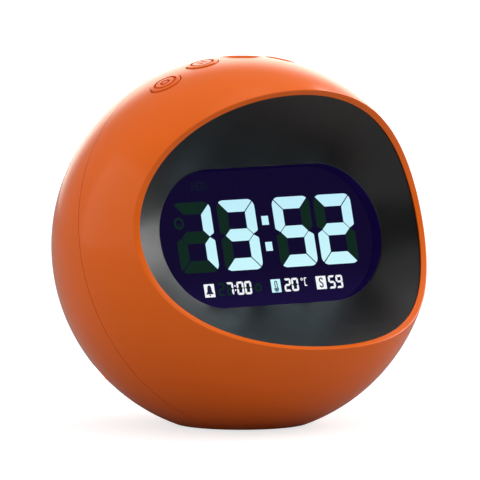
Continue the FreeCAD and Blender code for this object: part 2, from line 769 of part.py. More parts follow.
def main_chip():
    """Round seal of the chip on the back of the board, with a sloping edge."""
    peak = BOARD_BACK - D.chip_height
    top = D.chip_radius - D.chip_height
    return turned_body("main_chip", [(0, peak), (top, peak), (D.chip_radius, BOARD_BACK), (0, BOARD_BACK)])


def standing_part(name, radius, height, across, drop):
    """Round component standing on the back of the board, below the board's middle."""
    return rod(name, radius, BOARD_BACK - height, BOARD_BACK, None, across, -drop)


def board_parts():
    """Capacitor, crystal and the two wire sockets on the back of the board."""
    parts = [
        standing_part("Capacitor", D.capacitor_radius, D.capacitor_height, D.parts_across, D.parts_drop),
        standing_part("Crystal", D.crystal_radius, D.crystal_height, -D.parts_across, D.parts_drop),
    ]
    for side in (-1, 1):
        outline = rectangle(D.socket_width, D.socket_depth, D.socket_across * side, D.socket_up)
        parts.append(padded_body("WireSocket", [outline], [], BOARD_BACK - D.socket_height, BOARD_BACK))
    return group("BoardParts", parts)


def temperature_sensor():
    """Sensor at the lower edge of the board, drawn about its own axis."""
    return rod("Sensor", D.sensor_radius, 0, D.sensor_height)


def screw(name, shank_radius, head_radius, seat, length):
    """Flat-head screw whose head lies behind its seat and whose shank points forwards."""
    back = seat - D.screw_head_height
    corners = [
        (0, back), (head_radius, back), (head_radius, seat), (shank_radius, seat),
        (shank_radius, seat + length), (0, seat + length),
    ]
    return turned_body(name, corners)


def screws_at(name, places, screw_sizes):
    """One screw at each place, as a group."""
    parts = []
    for across, up in places:
        part = screw(name, *screw_sizes)
        part.Placement = shifted(across, up)
        parts.append(part)
    return group(name + "s", parts)


# ---------------------------------------------------------------- buttons

def button(label, step):
    """Button whose top follows the ball, with a flange inside and a stem to its switch."""
    centre = step == 0
    cap = D.centre_button_radius if centre else D.button_radius
    flange_top = INNER - D.flange_drop
    flange_low = flange_top - D.flange_thickness
    flange = cap + D.flange_overlap
    edge = cap - D.button_bevel
    corners = [
        (0, STEM_BOTTOM), (D.stem_radius, STEM_BOTTOM), (D.stem_radius, flange_low),
        (flange, flange_low), (flange, flange_top), (cap, flange_top),
        (cap, height_on_ball(D.ball_radius, edge) - D.button_bevel),
        (edge, height_on_ball(D.ball_radius, edge)),
    ]
    if centre:
        rim_height = height_on_ball(D.ball_radius, D.centre_dish_radius)
        bottom = rim_height - D.centre_dish_depth
        bowl = D.centre_dish_radius * D.centre_dish_radius + D.centre_dish_depth * D.centre_dish_depth
        bowl = bowl / (D.centre_dish_depth * 2)
        corners += [(D.centre_dish_radius, rim_height), (0, bottom)]
        arcs = {7: (0, 0, True), 8: (0, bottom + bowl, False)}
    else:
        outside = D.button_ring_radius + D.button_ring_width / 2
        inside = outside - D.button_ring_width
        low = height_on_ball(D.ball_radius, outside) - D.button_ring_depth
        corners += [
            (outside, height_on_ball(D.ball_radius, outside)), (outside, low),
            (inside, low), (inside, height_on_ball(D.ball_radius, inside)), (0, D.ball_radius),
        ]
        arcs = {7: (0, 0, True), 11: (0, 0, True)}
    return turned_body(label, corners, arcs)


def tact_switch():
    """Square switch with a well for the stem of its button."""
    body = new_body("TactSwitch")
    low = D.switch_top - D.switch_height
    outline = body_sketch(body, "SwitchOutline", out=low)
    corners, arcs = rectangle(D.switch_side, D.switch_side)
    draw(outline, corners, arcs)
    pad(body, outline, D.switch_height)
    well = body_sketch(body, "SwitchWell", out=D.switch_top)
    draw_circle(well, D.stem_radius + D.button_gap)
    pocket(body, well, SWITCH_WELL)
    return body


def sector(name, inside, outside, width, start, sweep):
    """Piece of a flat ring about the stand frame's Y axis, from a start angle past the top."""
    pieces = []
    for radius in (outside, inside):
        feature = DOC.addObject("Part::Cylinder", name + "Disc")
        bind(feature, Radius=radius, Height=width)
        feature.Angle = 360
        across_y = Placement(Vector(0, width.value / 2, 0), Rotation(Vector(1, 0, 0), 90))
        feature.Placement = across_y * Placement(Vector(), Rotation(Vector(0, 0, 1), 90 - start - sweep))
        pieces.append(feature)
    pieces[0].Angle = sweep
    return cut(name, pieces[0], [pieces[1]])


def flange_arc():
    """Degrees of arc that half a small button's flange takes up under the shell."""
    flange = D.button_radius + D.flange_overlap
    level = INNER - D.flange_drop - D.flange_thickness
    return math.degrees(math.atan(flange.value / level.value))


def button_carrier():
    """Curved strip under the switches with a foot at each end against the front shell."""
    foot = D.carrier_foot.value
    reach = OUTER_STEP * D.button_spacing.value + flange_arc() + D.carrier_clearance.value + foot
    width = D.carrier_width
    strip = sector("CarrierStrip", CARRIER_INSIDE, CARRIER_OUTSIDE, width, -reach, reach * 2)
    top = height_on_ball(INNER, width / 2) - D.fit_gap
    starts = (-reach, reach - foot)
    feet = [sector("CarrierFoot", CARRIER_INSIDE, top, width, start, foot) for start in starts]
    return fuse("Carrier", [strip] + feet)


# ---------------------------------------------------------------- batteries and their door

def cell_rows():
    """Each cell's row, counted from the middle, and the side that its nub is on."""
    return [(row - (CELLS - 1) / 2, 1 if row % 2 == 0 else -1) for row in range(CELLS)]


def along_x(side, up, out, end):
    """Frame whose Z runs along X towards one side, with its origin at an end."""
    turn = Rotation(Vector(0, 1, 0), 90 * side)
    return Placement(Vector(side * end.value, up.value, out.value), turn)


def battery_cells():
    """Cells that lie across the well, each the other way round from its neighbour."""
    nub_end = WELL_WIDTH / 2 - D.plate_thickness - D.fit_gap
    for number, (row, side) in enumerate(cell_rows(), start=1):
        corners = [
            (0, 0), (D.cell_radius, 0), (D.cell_radius, D.cell_length), (D.nub_radius, D.cell_length),
            (D.nub_radius, D.cell_length + D.nub_length), (0, D.cell_length + D.nub_length),
        ]
        cell = turned_body("battery_cell_%d" % number, corners)
        start = nub_end - D.nub_length - D.cell_length
        frame = along_x(side, D.cell_pitch * row, CELL_AXIS, start)
        keep(cell, cell.Label, FACE * frame)


def contact_plates():
    """Flat contacts that the nubs press on."""
    plates = []
    side_length = D.cell_radius * 2 - D.cell_play * 2
    for row, side in cell_rows():
        plate = padded_body("ContactPlate", [rectangle(side_length, side_length)], [], 0, D.plate_thickness)
        plate.Placement = along_x(side, D.cell_pitch * row, CELL_AXIS, WELL_WIDTH / 2 - D.plate_thickness)
        plates.append(plate)
    return group("ContactPlates", plates)


def contact_springs():
    """Bowed strips behind the flat ends of the cells."""
    strip = D.plate_thickness
    foot = D.spring_height / 2
    tip = D.spring_tip / 2
    slope = (foot - tip) / D.spring_length
    thick = strip * root(slope * slope + 1)
    inner_foot = foot - slope * strip - thick
    inner_tip = foot - slope * (D.spring_length - strip) - thick
    outside = [(0, -foot), (D.spring_length, -tip), (D.spring_length, tip), (0, foot)]
    near = D.spring_length - strip
    inside = [(strip, -inner_foot), (near, -inner_tip), (near, inner_tip), (strip, inner_foot)]
    half = D.spring_width / 2
    springs = []
    for row, side in cell_rows():
        spring = padded_body("ContactSpring", [(outside, {}), (inside, {})], [], -half, half)
        place = shifted(-side * WELL_WIDTH.value / 2, D.cell_pitch * row, CELL_AXIS)
        facing = Rotation(Vector(0, 0, 1), 90 - 90 * side) * Rotation(Vector(1, 0, 0), 90)
        spring.Placement = place * Placement(Vector(), facing)
        springs.append(spring)
    return group("ContactSprings", springs)


def battery_door():
    """Piece of the ball's skin with ribs that hold the cells and a finger notch."""
    outline = rounded(DOOR_WIDTH, DOOR_HEIGHT, D.door_corner)
    block = prism("DoorPrism", outline, -FAR, WELL_FACE)
    outside = common("DoorOutside", [block, ball("DoorBall", D.ball_radius, ACROSS)])
    skin = cut("DoorSkin", outside, [ball("DoorHollow", INNER, ACROSS)])
    rib_front = CELL_AXIS - D.cell_radius - D.fit_gap
    rib_length = D.cell_pitch * (CELLS - 1) + D.cell_radius
    ribs = []
    for side in (-1, 1):
        outline = rectangle(D.door_rib, rib_length, D.rib_spread / 2 * side)
        ribs.append(prism("DoorRib", outline, -FAR, rib_front))
    inside_ball = ball("RibBall", D.ball_radius - D.wall / 2)
    ribs_trimmed = common("DoorRibs", [fuse("DoorRibPair", ribs), inside_ball])
    notch_up = DOOR_HEIGHT / 2
    notch_out = -height_on_ball(D.ball_radius, notch_up)
    notch = DOC.addObject("Part::Sphere", "FingerNotch")
    bind(notch, Radius=D.notch_radius)
    sink = D.notch_radius - D.notch_depth
    notch.Placement = shifted(0, notch_up, notch_out - sink)
    return cut("BatteryDoor", fuse("DoorSolid", [skin, ribs_trimmed]), [notch])


# ---------------------------------------------------------------- foot and buzzer

def foot_pad():
    """Rubber disc in the recess under the ball."""
    top = D.foot_proud + D.foot_recess - D.fit_gap
    edge = D.foot_radius - D.foot_proud
    corners = [(0, 0), (edge, 0), (D.foot_radius, D.foot_proud), (D.foot_radius, top), (0, top)]
    return turned_body("foot_pad", corners)


def buzzer():
    """Round buzzer against the inside of the sound holes."""
    high = INNER - D.wall - D.fit_gap
    low = high - D.buzzer_height
    port_bottom = high - D.buzzer_port
    corners = [
        (0, low), (D.buzzer_radius, low), (D.buzzer_radius, high), (D.buzzer_port, high),
        (D.buzzer_port, port_bottom), (0, port_bottom),
    ]
    return turned_body("buzzer", corners)


# ---------------------------------------------------------------- assembly

def build():
    """Make every piece and put it in its place."""
    keep(front_shell(), "front_shell", FACE)
    keep(rear_shell(), "rear_shell", FACE)
    keep(face_bezel(), "face_bezel", FACE)
    display_pieces()
    keep(display_chassis(), "display_chassis", FACE)
    keep(main_board(), "main_board", FACE)
    keep(main_chip(), "main_chip", FACE)
    keep(board_parts(), "board_parts", FACE)
    sensor_place = shifted(0, -D.sensor_drop, BOARD_BACK - D.sensor_height)
    keep(temperature_sensor(), "temperature_sensor", FACE * sensor_place)
    chassis_screw = (D.chassis_screw_radius, D.chassis_screw_head, BOARD_BACK, D.chassis_screw_length)
    keep(screws_at("ChassisScrew", post_places(), chassis_screw), "chassis_screws", FACE)
    shell_seat = REAR_SEAM - D.counterbore_depth
    shell_screw = (D.shell_screw_radius, D.shell_screw_head, shell_seat, D.shell_screw_length)
    keep(screws_at("ShellScrew", boss_places(), shell_screw), "shell_screws", FACE)
    switches = []
    for label, step in BUTTONS:
        keep(button(label, step), label, CENTRE * leaned(step))
        switch = tact_switch()
        switch.Placement = leaned(step)
        switches.append(switch)
    keep(group("TactSwitches", switches), "tact_switches", CENTRE)
    keep(button_carrier(), "button_carrier", CENTRE)
    battery_cells()
    keep(contact_plates(), "contact_plates", FACE)
    keep(contact_springs(), "contact_springs", FACE)
    keep(battery_door(), "battery_door", FACE)
    keep(foot_pad(), "foot_pad", Placement())
    keep(buzzer(), "buzzer", FACE * buzzer_frame())


def check_and_write():
    """Stop on anything that failed, then write one STEP file for each node."""
    for feature in DOC.Objects:
        if "Invalid" in feature.State or "Error" in feature.State:
            raise RuntimeError("%s failed: %s" % (feature.Label, feature.State))
    os.makedirs("parts", exist_ok=True)
    for label, feature in NODES.items():
        shape = feature.Shape
        if shape.isNull() or not shape.isValid() or not shape.Solids:
            raise RuntimeError("%s has no valid solid" % label)
        shape.exportStep("parts/%s.step" % label)
        print("%-22s solids %d  volume %10.1f" % (label, len(shape.Solids), shape.Volume))


build()
DOC.recompute()
check_and_write()
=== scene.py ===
import math

import bpy
from mathutils import Matrix, Vector


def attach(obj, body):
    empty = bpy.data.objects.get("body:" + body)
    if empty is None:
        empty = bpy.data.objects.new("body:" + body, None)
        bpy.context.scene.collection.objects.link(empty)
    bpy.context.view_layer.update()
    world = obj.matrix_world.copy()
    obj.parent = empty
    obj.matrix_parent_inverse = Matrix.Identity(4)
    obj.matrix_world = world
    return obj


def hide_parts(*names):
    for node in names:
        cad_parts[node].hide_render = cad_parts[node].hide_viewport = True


bl_info = {
    "name": "Ball Alarm Clock",
    "version": (1, 0, 0),
    "blender": (4, 5, 0),
    "location": "3D View > Sidebar > Clock",
    "description": "Dresses a ball-shaped digital alarm clock around its construction model",
    "category": "Object",
}

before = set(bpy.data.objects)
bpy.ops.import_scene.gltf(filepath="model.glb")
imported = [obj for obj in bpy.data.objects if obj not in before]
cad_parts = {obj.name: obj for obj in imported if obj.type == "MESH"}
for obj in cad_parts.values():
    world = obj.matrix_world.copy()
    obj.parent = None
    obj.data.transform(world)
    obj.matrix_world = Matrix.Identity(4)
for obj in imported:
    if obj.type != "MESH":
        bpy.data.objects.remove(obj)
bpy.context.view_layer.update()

MM = 0.001

# Columns round each skin, and rows from its seam to its lip.
CASE_COLUMNS = 288
DISH_COLUMNS = 384
LENS_COLUMNS = 192
ROUND_COLUMNS = 96
OUTSIDE_ROWS = 56
INSIDE_ROWS = 12
ROUND_STEPS = 4
QUARTERS = (0.25, 0.5, 0.75)

# Edges sharper than this stay sharp, and points closer than these count as one.
SHARP_EDGE = math.radians(30)
MERGE = 1e-7
FINE_MERGE = 1e-8
CAD_MERGE = 1e-6
BALL_SLACK = 2e-6


# ---------- sizes and colours

def length(name, description, default):
    """Length property, written in millimetres."""
    return bpy.props.FloatProperty(name=name, description=description, default=default * MM,
                                   subtype="DISTANCE", unit="LENGTH", precision=5)


def bend(name, description, default):
    """Angle property, written in degrees."""
    return bpy.props.FloatProperty(name=name, description=description,
                                   default=math.radians(default), subtype="ANGLE")


def colour(name, description, default):
    """Opaque colour property."""
    return bpy.props.FloatVectorProperty(name=name, description=description, default=default,
                                         size=3, subtype="COLOR", min=0.0, max=1.0)


class CaseSizes(bpy.types.PropertyGroup):
    """Shells, face and buttons."""

    ball: length("Ball radius", "Outside of the shells", 45.0)
    wall: length("Wall", "Thickness of the shells", 1.6)
    centre_height: length("Centre height", "Ball's centre above the table", 42.4)
    flat: length("Flat height", "Flat of the shells above the table", 0.3)
    tilt: bend("Tilt", "How far the face looks up", 15)
    scoop: length("Scoop radius", "Cylinder that scoops the face", 37.4)
    scoop_axis: length("Scoop axis", "Axis of that cylinder in front of the centre", 54.25)
    seam: length("Seam", "Middle of the seam behind the centre", 1.3)
    seam_gap: length("Seam gap", "Open line between the shells", 0.12)
    lip_round: length("Lip rounding", "Rounding of the scoop's outer edge", 0.3)
    edge_round: length("Edge rounding", "Rounding of the seam and the other edges", 0.12)
    button: length("Button radius", "Small buttons", 3.75)
    centre_button: length("Centre button radius", "Middle button", 4.75)
    button_gap: length("Button gap", "Gap round a button", 0.2)
    spacing: bend("Spacing", "Angle between neighbouring buttons", 14.5)
    foot: length("Foot radius", "Rubber foot", 13.5)


class FaceSizes(bpy.types.PropertyGroup):
    """Dish, window and display."""

    dish: length("Dish radius", "Outer edge of the dish from the ball's centre", 43.3)
    dish_step: length("Dish step", "Dish below the edge of the scoop", 0.5)
    dish_wall: length("Dish wall", "Thickness of the dish", 1.8)
    window_width: length("Window width", "End to end", 63.8)
    window_height: length("Window height", "Top to bottom", 33.1)
    window_plane: length("Window plane", "Window's edge in front of the ball's centre", 13.0)
    land: length("Window land", "Straight edge of the window", 0.4)
    glass_plane: length("Glass plane", "Display glass in front of the ball's centre", 9.1)
    digit_width: length("Digit width", "Large digits", 10.85)
    digit_height: length("Digit height", "Large digits", 16.85)
    stroke: length("Stroke", "Strokes of the large digits", 2.9)
    digit_middle: length("Digit middle", "Large digits above the middle of the window", 1.15)


class Colours(bpy.types.PropertyGroup):
    """Colours of the visible finishes, linear."""

    case: colour("Case", "Soft-touch shells and buttons", (0.80, 0.128, 0.006))
    dish: colour("Dish", "Black dish", (0.006, 0.0068, 0.0074))
    glass: colour("Display", "Unlit display", (0.0056, 0.0030, 0.026))
    lit: colour("Lit segments", "Lit segments of the display", (0.53, 0.86, 0.98))
    ghost: colour("Resting segments", "Unlit segments of the display", (0.0055, 0.022, 0.0145))
    # The wall's violet is its own tint, and also its painted glow of the display's light falling on
    # it.
    wall: colour("Window wall", "Ring round the display", (0.0075, 0.0018, 0.050))


# ---------- places

# Steps of each button round the ball, counted from the middle one.
BUTTONS = {
    "left_outer_button": -2, "left_inner_button": -1, "centre_button": 0,
    "right_inner_button": 1, "right_outer_button": 2,
}


def face_place(case):
    """Frame of the face: X to the clock's right, Y up the face and Z out of it."""
    lean = Matrix.Rotation(math.radians(90) - case.tilt, 4, "X")
    return Matrix.Translation((0, 0, case.centre_height)) @ lean


def button_place(case, step):
    """Frame at the ball's centre whose Z points through a button."""
    turn = Matrix.Rotation(step * case.spacing, 4, "Y")
    return Matrix.Translation((0, 0, case.centre_height)) @ turn


# ---------- modelling helpers

def deselect():
    """Leave edit mode and select nothing."""
    if bpy.context.object and bpy.context.object.mode != "OBJECT":
        bpy.ops.object.mode_set(mode="OBJECT")
    bpy.ops.object.select_all(action="DESELECT")


def activate(piece):
    """Select one piece alone, for the operators that follow."""
    deselect()
    piece.select_set(True)
    bpy.context.view_layer.objects.active = piece


def named(name):
    """Name the object that an operator has just added, and its mesh."""
    piece = bpy.context.object
    piece.name = name
    piece.data.name = name
    return piece


def tidy_mesh(piece, merge=MERGE):
    """Merge doubles, point the faces outwards and smooth all but the sharp edges."""
    activate(piece)
    bpy.ops.object.mode_set(mode="EDIT")
    bpy.ops.mesh.select_all(action="SELECT")
    bpy.ops.mesh.remove_doubles(threshold=merge)
    bpy.ops.mesh.normals_make_consistent(inside=False)
    bpy.ops.object.mode_set(mode="OBJECT")
    bpy.ops.object.shade_smooth_by_angle(angle=SHARP_EDGE)
    return piece


def ring_skin(name, rings, columns, place, closed=True):
    """Skin through a stack of closed rings.

    A grid is added and each of its rows becomes one ring: rings is a list of functions from
    a share of the way round to a point. A closed skin joins its last ring to its first.
    """
    deselect()
    stack = rings + rings[:1] if closed else rings
    rows = len(stack)
    bpy.ops.mesh.primitive_grid_add(x_subdivisions=columns, y_subdivisions=rows - 1, size=2)
    piece = named(name)
    last_column = 1 - 1e-6
    for vertex in piece.data.vertices:
        turn = (vertex.co.x + 1) / 2
        row = round((vertex.co.y + 1) / 2 * (rows - 1))
        vertex.co = place @ stack[row](turn % 1.0 if turn < last_column else 0.0)
    return tidy_mesh(piece)


def round_ring(radius, height):
    """Ring about a frame's Z, at a height."""
    return lambda turn: Vector((radius * math.cos(2 * math.pi * turn),
                                radius * math.sin(2 * math.pi * turn), height))


def curve(first, middle, last, share):
    """Point on the soft corner that leads from one point to another past a third."""
    return first * (1 - share) ** 2 + middle * 2 * share * (1 - share) + last * share ** 2


def rounding(before, corner, after, steps=ROUND_STEPS):
    """Rings that round a corner between two rings."""
    def at(share):
        return lambda turn: curve(before(turn), corner(turn), after(turn), share)
    return [at(step / steps) for step in range(steps + 1)]


def between(first, last, shares=QUARTERS):
    """Rings on straight lines between two rings, at shares of the way."""
    def at(share):
        return lambda turn: first(turn).lerp(last(turn), share)
    return [at(share) for share in shares]


def towards(ring, other, distance):
    """Ring moved a distance towards another."""
    return lambda turn: ring(turn) + (other(turn) - ring(turn)).normalized() * distance


def turned(name, profile, place):
    """Piece turned about a frame's Z from a closed profile of radius and height."""
    rings = [round_ring(radius, height) for radius, height in profile]
    return ring_skin(name, rings, ROUND_COLUMNS, place, closed=False)


def flat_shapes(name, outlines, low, high, place):
    """Thin plates in one mesh, each raised from an outline in a frame's XY plane."""
    vertices = []
    faces = []
    for outline in outlines:
        count = len(outline)
        start = len(vertices)
        vertices += [place @ Vector((x, y, level)) for level in (low, high) for x, y in outline]
        faces.append([start + number for number in reversed(range(count))])
        faces.append([start + count + number for number in range(count)])
        for number in range(count):
            here, after = start + number, start + (number + 1) % count
            faces.append([here, after, after + count, here + count])
    mesh = bpy.data.meshes.new(name)
    mesh.from_pydata([tuple(point) for point in vertices], [], faces)
    piece = bpy.data.objects.new(name, mesh)
    bpy.context.collection.objects.link(piece)
    return tidy_mesh(piece)


def carve(piece, cutters):
    """Cut solids out of a piece and remove them."""
    for cutter in cutters:
        activate(piece)
        cut = piece.modifiers.new("cut", "BOOLEAN")
        cut.operation = "DIFFERENCE"
        cut.solver = "EXACT"
        cut.object = cutter
        bpy.ops.object.modifier_apply(modifier=cut.name)
        bpy.data.objects.remove(cutter)
    return piece


def dressed_copy(node, name):
    """Merged copy of a construction node."""
    piece = bpy.data.objects.new(name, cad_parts[node].data.copy())
    bpy.context.collection.objects.link(piece)
    piece.data.name = name
    piece.data.materials.clear()
    activate(piece)
    if piece.data.has_custom_normals:
        bpy.ops.mesh.customdata_custom_splitnormals_clear()
    return tidy_mesh(piece, CAD_MERGE)


def true_normals(piece, case):
    """Radial normals on each face whose corners all lie on the ball."""
    mesh = piece.data
    centre = Vector((0, 0, case.centre_height))
    normals = [tuple(corner.vector) for corner in mesh.corner_normals]
    for face in mesh.polygons:
        arms = [mesh.vertices[number].co - centre for number in face.vertices]
        if all(abs(arm.length - case.ball) < BALL_SLACK for arm in arms):
            side = 1 if face.normal.dot(arms[0]) > 0 else -1
            for loop, arm in zip(face.loop_indices, arms):
                normals[loop] = tuple(arm.normalized() * side)
    mesh.normals_split_custom_set(normals)


def finish(piece, body, material, replaces=()):
    """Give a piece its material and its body."""
    piece.data.materials.clear()
    piece.data.materials.append(bpy.data.materials[material])
    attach(piece, body)
    if replaces:
        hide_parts(*replaces)


# ---------- outlines

def turn_angles(count):
    """Angles of equal steps round a circle."""
    return [2 * math.pi * number / count for number in range(count)]


def arc(across, up, radius, angles):
    """Points at angles round a middle."""
    return [(across + radius * math.cos(angle), up + radius * math.sin(angle))
            for angle in angles]


def circle_outline(across, up, radius, count):
    """Outline of a disc."""
    return arc(across, up, radius, turn_angles(count))


def ring_outlines(across, up, outer, inner, parts=16):
    """Flat ring made of plates side by side."""
    plates = []
    angles = turn_angles(parts * 3) + [2 * math.pi]
    for number in range(0, parts * 3, 3):
        part = angles[number:number + 4]
        plates.append(arc(across, up, outer, part) + arc(across, up, inner, part[::-1]))
    return plates


def soften(points, radii, steps=4):
    """Outline with rounded corners: one radius for each corner."""
    most = 0.45
    result = []
    for number, (point, radius) in enumerate(zip(points, radii)):
        here = Vector(point)
        before = Vector(points[number - 1]) - here
        after = Vector(points[(number + 1) % len(points)]) - here
        if radius <= 0:
            result.append(tuple(here))
            continue
        cut = min(radius, before.length * most, after.length * most)
        first = here + before.normalized() * cut
        last = here + after.normalized() * cut
        result += [tuple(curve(first, here, last, step / steps)) for step in range(steps + 1)]
    return result


def box_outline(left, low, right, high, radius=0.0):
    """Outline of a box with equally rounded corners."""
    return soften([(left, low), (right, low), (right, high), (left, high)], [radius] * 4)


def ribbon(points, width):
    """Outline of an even line through points."""
    sharpest = 0.5
    left, right = [], []
    for number, point in enumerate(points):
        here = Vector(point)
        arms = [(here - Vector(points[number - 1])).normalized()] if number else []
        if number < len(points) - 1:
            arms.append((Vector(points[number + 1]) - here).normalized())
        along = sum(arms, Vector((0.0, 0.0))).normalized()
        across = Vector((-along.y, along.x)) * width / 2 / max(along.dot(arms[0]), sharpest)
        left.append(tuple(here + across))
        right.append(tuple(here - across))
    return right + left[::-1]


def moved(outlines, across, up):
    """Outlines at another place."""
    return [[(x + across, y + up) for x, y in outline] for outline in outlines]


# ---------- materials

def fill(node, **values):
    """Values of a node's sockets, with underscores for spaces."""
    for key, value in values.items():
        node.inputs[key.replace("_", " ")].default_value = value
    return node


def add(tree, kind, **values):
    """New node of a kind, with its values."""
    return fill(tree.nodes.new("ShaderNode" + kind), **values)


def graded(tree, factor, stops):
    """Colour that runs through stops as a factor grows."""
    ramp = add(tree, "ValToRGB")
    elements = ramp.color_ramp.elements
    elements[0].position, elements[0].color = stops[0]
    elements[1].position, elements[1].color = stops[-1]
    for position, tint in stops[1:-1]:
        elements.new(position).color = tint
    tree.links.new(factor, ramp.inputs["Fac"])
    return ramp.outputs["Color"]


def height_in(tree, place):
    """Height of a place."""
    parts = add(tree, "SeparateXYZ")
    tree.links.new(place, parts.inputs["Vector"])
    return parts.outputs["Z"]


class Mix:
    """Node tree of one material, with short ways to add nodes."""

    def __init__(self, name):
        if name in bpy.data.materials:
            raise RuntimeError(name + " is already a finish of the construction model")
        material = bpy.data.materials.new(name)
        material.use_nodes = True
        self.tree = material.node_tree
        self.link = self.tree.links.new
        self.shader = self.tree.nodes["Principled BSDF"]
        self.place = add(self.tree, "TexCoord").outputs["Object"]

    def feed(self, socket, output):
        """Join an output to one of the shader's own sockets."""
        self.link(output, self.shader.inputs[socket])

    def noise(self, scale, detail=3.0):
        """Noise that stays with the piece."""
        node = add(self.tree, "TexNoise", Scale=scale, Detail=detail, Roughness=0.55)
        self.link(self.place, node.inputs["Vector"])
        return node.outputs["Fac"]

    def ramp(self, factor, low, high, start=0.0, end=1.0):
        """Colour that runs between two as a factor runs between two limits."""
        return graded(self.tree, factor, ((start, (*low, 1)), (end, (*high, 1))))

    def span(self, factor, low, high, start=0.0, end=1.0):
        """Number that runs between two as a factor runs between two limits."""
        node = add(self.tree, "MapRange", From_Min=start, From_Max=end, To_Min=low, To_Max=high)
        self.link(factor, node.inputs["Value"])
        return node.outputs["Result"]

    def bump(self, height, strength):
        """Fine relief, two hundredths of a millimetre deep."""
        node = add(self.tree, "Bump", Strength=strength, Distance=0.02 * MM)
        self.link(height, node.inputs["Height"])
        self.feed("Normal", node.outputs["Normal"])

    def height_glow(self, below, above, low, high):
        """Light of its own, of one colour below a height and another above a second."""
        share = self.span(height_in(self.tree, self.place), 0.0, 1.0, low, high)
        self.feed("Emission Color", self.ramp(share, below, above))


def shade(base, factor):
    """A colour made lighter or darker."""
    return tuple(min(1.0, part * factor) for part in base)


def blend(first, last, share):
    """A colour between two."""
    return tuple(a + (b - a) * share for a, b in zip(first, last))


def moulded(name, base, roughness, grain, bump, vary=0.06, ior=1.45, specular=0.5):
    """Moulded plastic with fine grain, soft patches and a slightly uneven gloss."""
    limits = (0.3, 0.7)
    mix = Mix(name)
    patches = mix.noise(90.0, detail=4.0)
    mix.feed("Base Color", mix.ramp(patches, shade(base, 1 - vary), shade(base, 1 + vary), *limits))
    gloss = mix.noise(260.0)
    mix.feed("Roughness", mix.span(gloss, roughness * 0.9, roughness * 1.1, *limits))
    mix.bump(mix.noise(grain, detail=2.0), bump)
    fill(mix.shader, IOR=ior, Specular_IOR_Level=specular)
    return mix


def metal(name, base, roughness):
    """Plated metal with faint brushing."""
    mix = moulded(name, base, roughness, grain=900.0, bump=0.15, vary=0.04)
    fill(mix.shader, Metallic=1.0)


def glowing(name, base):
    """Display element that gives its own light."""
    mix = Mix(name)
    even = mix.noise(160.0, detail=2.0)
    mix.feed("Emission Color", mix.ramp(even, shade(base, 0.97), shade(base, 1.0), 0.35, 0.65))
    fill(mix.shader, Base_Color=(0, 0, 0, 1), Emission_Strength=1.0, Roughness=0.9,
         Specular_IOR_Level=0.0)
    return mix


def clear_lens():
    """Thin clear sheet whose gloss grows towards a grazing look."""
    mix = Mix("lens_sheet")
    rise = add(mix.tree, "Math")
    rise.operation = "POWER"
    rise.inputs[1].default_value = 5.0
    mix.link(add(mix.tree, "LayerWeight", Blend=0.5).outputs["Facing"], rise.inputs[0])
    gloss = add(mix.tree, "BsdfGlossy")
    mix.link(mix.span(mix.noise(400.0), 0.04, 0.06), gloss.inputs["Roughness"])
    sheet = add(mix.tree, "MixShader")
    mix.link(mix.span(rise.outputs["Value"], 0.008, 0.9), sheet.inputs["Fac"])
    mix.link(add(mix.tree, "BsdfTransparent").outputs["BSDF"], sheet.inputs[1])
    mix.link(gloss.outputs["BSDF"], sheet.inputs[2])
    mix.link(sheet.outputs["Shader"], mix.tree.nodes["Material Output"].inputs["Surface"])
    mix.tree.nodes.remove(mix.shader)


# Base colour, roughness, grain, bump and patches.
INNER_PLASTICS = {
    "chassis_white": ((0.75, 0.75, 0.74), 0.5, 1500.0, 0.1),
    "strip_rubber": ((0.3, 0.3, 0.31), 0.8, 900.0, 0.3),
    "board_green": ((0.02, 0.14, 0.05), 0.4, 700.0, 0.2, 0.2),
    "black_plastic": ((0.02, 0.02, 0.02), 0.5, 1500.0, 0.2),
    "foot_black": ((0.018, 0.018, 0.018), 0.85, 1100.0, 0.5, 0.2),
    "cell_sleeve": ((0.08, 0.085, 0.095), 0.35, 600.0, 0.05),
}


class CLOCK_OT_finishes(bpy.types.Operator):
    """Every finish of the clock"""

    bl_idname = "clock.finishes"
    bl_label = "Finishes"

    def execute(self, context):
        colours = context.scene.clock_colours
        for name in ("soft_touch_case", "soft_touch_button"):
            soft = moulded(name, colours.case, roughness=0.24, grain=3200.0, bump=0.04,
                           vary=0.015, specular=0.22)
            fill(soft.shader, Coat_Weight=0.3, Coat_Roughness=0.1)
        moulded("black_dish", colours.dish, roughness=0.36, grain=2400.0, bump=0.03,
                vary=0.10, ior=1.5, specular=0.82)
        # Window wall: violet tint of its own, plus painted glow: a faint violet light of its own
        # stands in for the display's light falling on the wall.
        violet = moulded("violet_wall", colours.wall, roughness=0.5, grain=1200.0,
                         bump=0.05, vary=0.05, ior=1.3, specular=0.1)
        fill(violet.shader, Emission_Color=(*colours.wall, 1.0), Emission_Strength=0.3)
        glass = moulded("dark_display", (0.0, 0.0, 0.0), roughness=0.3, grain=400.0, bump=0.0,
                        vary=0.0, ior=1.2, specular=0.05)
        glass.height_glow(shade(colours.glass, 2.0), colours.glass, low=0.026, high=0.038)
        fill(glass.shader, Emission_Strength=1.0)
        lit = glowing("lit_segment", colours.lit)
        lit.height_glow((0.60, 0.95, 1.0), colours.lit, low=0.037, high=0.055)
        glowing("lit_sign", (0.93, 0.97, 1.0))
        glowing("resting_segment", colours.ghost)
        glowing("faint_sign", blend(colours.glass, colours.ghost, 0.45))
        glowing("dark_sign", (0.02, 0.016, 0.05))
        for name, values in INNER_PLASTICS.items():
            moulded(name, *values)
        metal("plated_steel", (0.55, 0.55, 0.56), roughness=0.3)
        metal("nickel", (0.66, 0.62, 0.55), roughness=0.28)
        clear_lens()
        return {"FINISHED"}


# ---------- shells

# Depth of the front shell's rebate over the tongue of the rear shell.
REBATE = 1.54 * MM


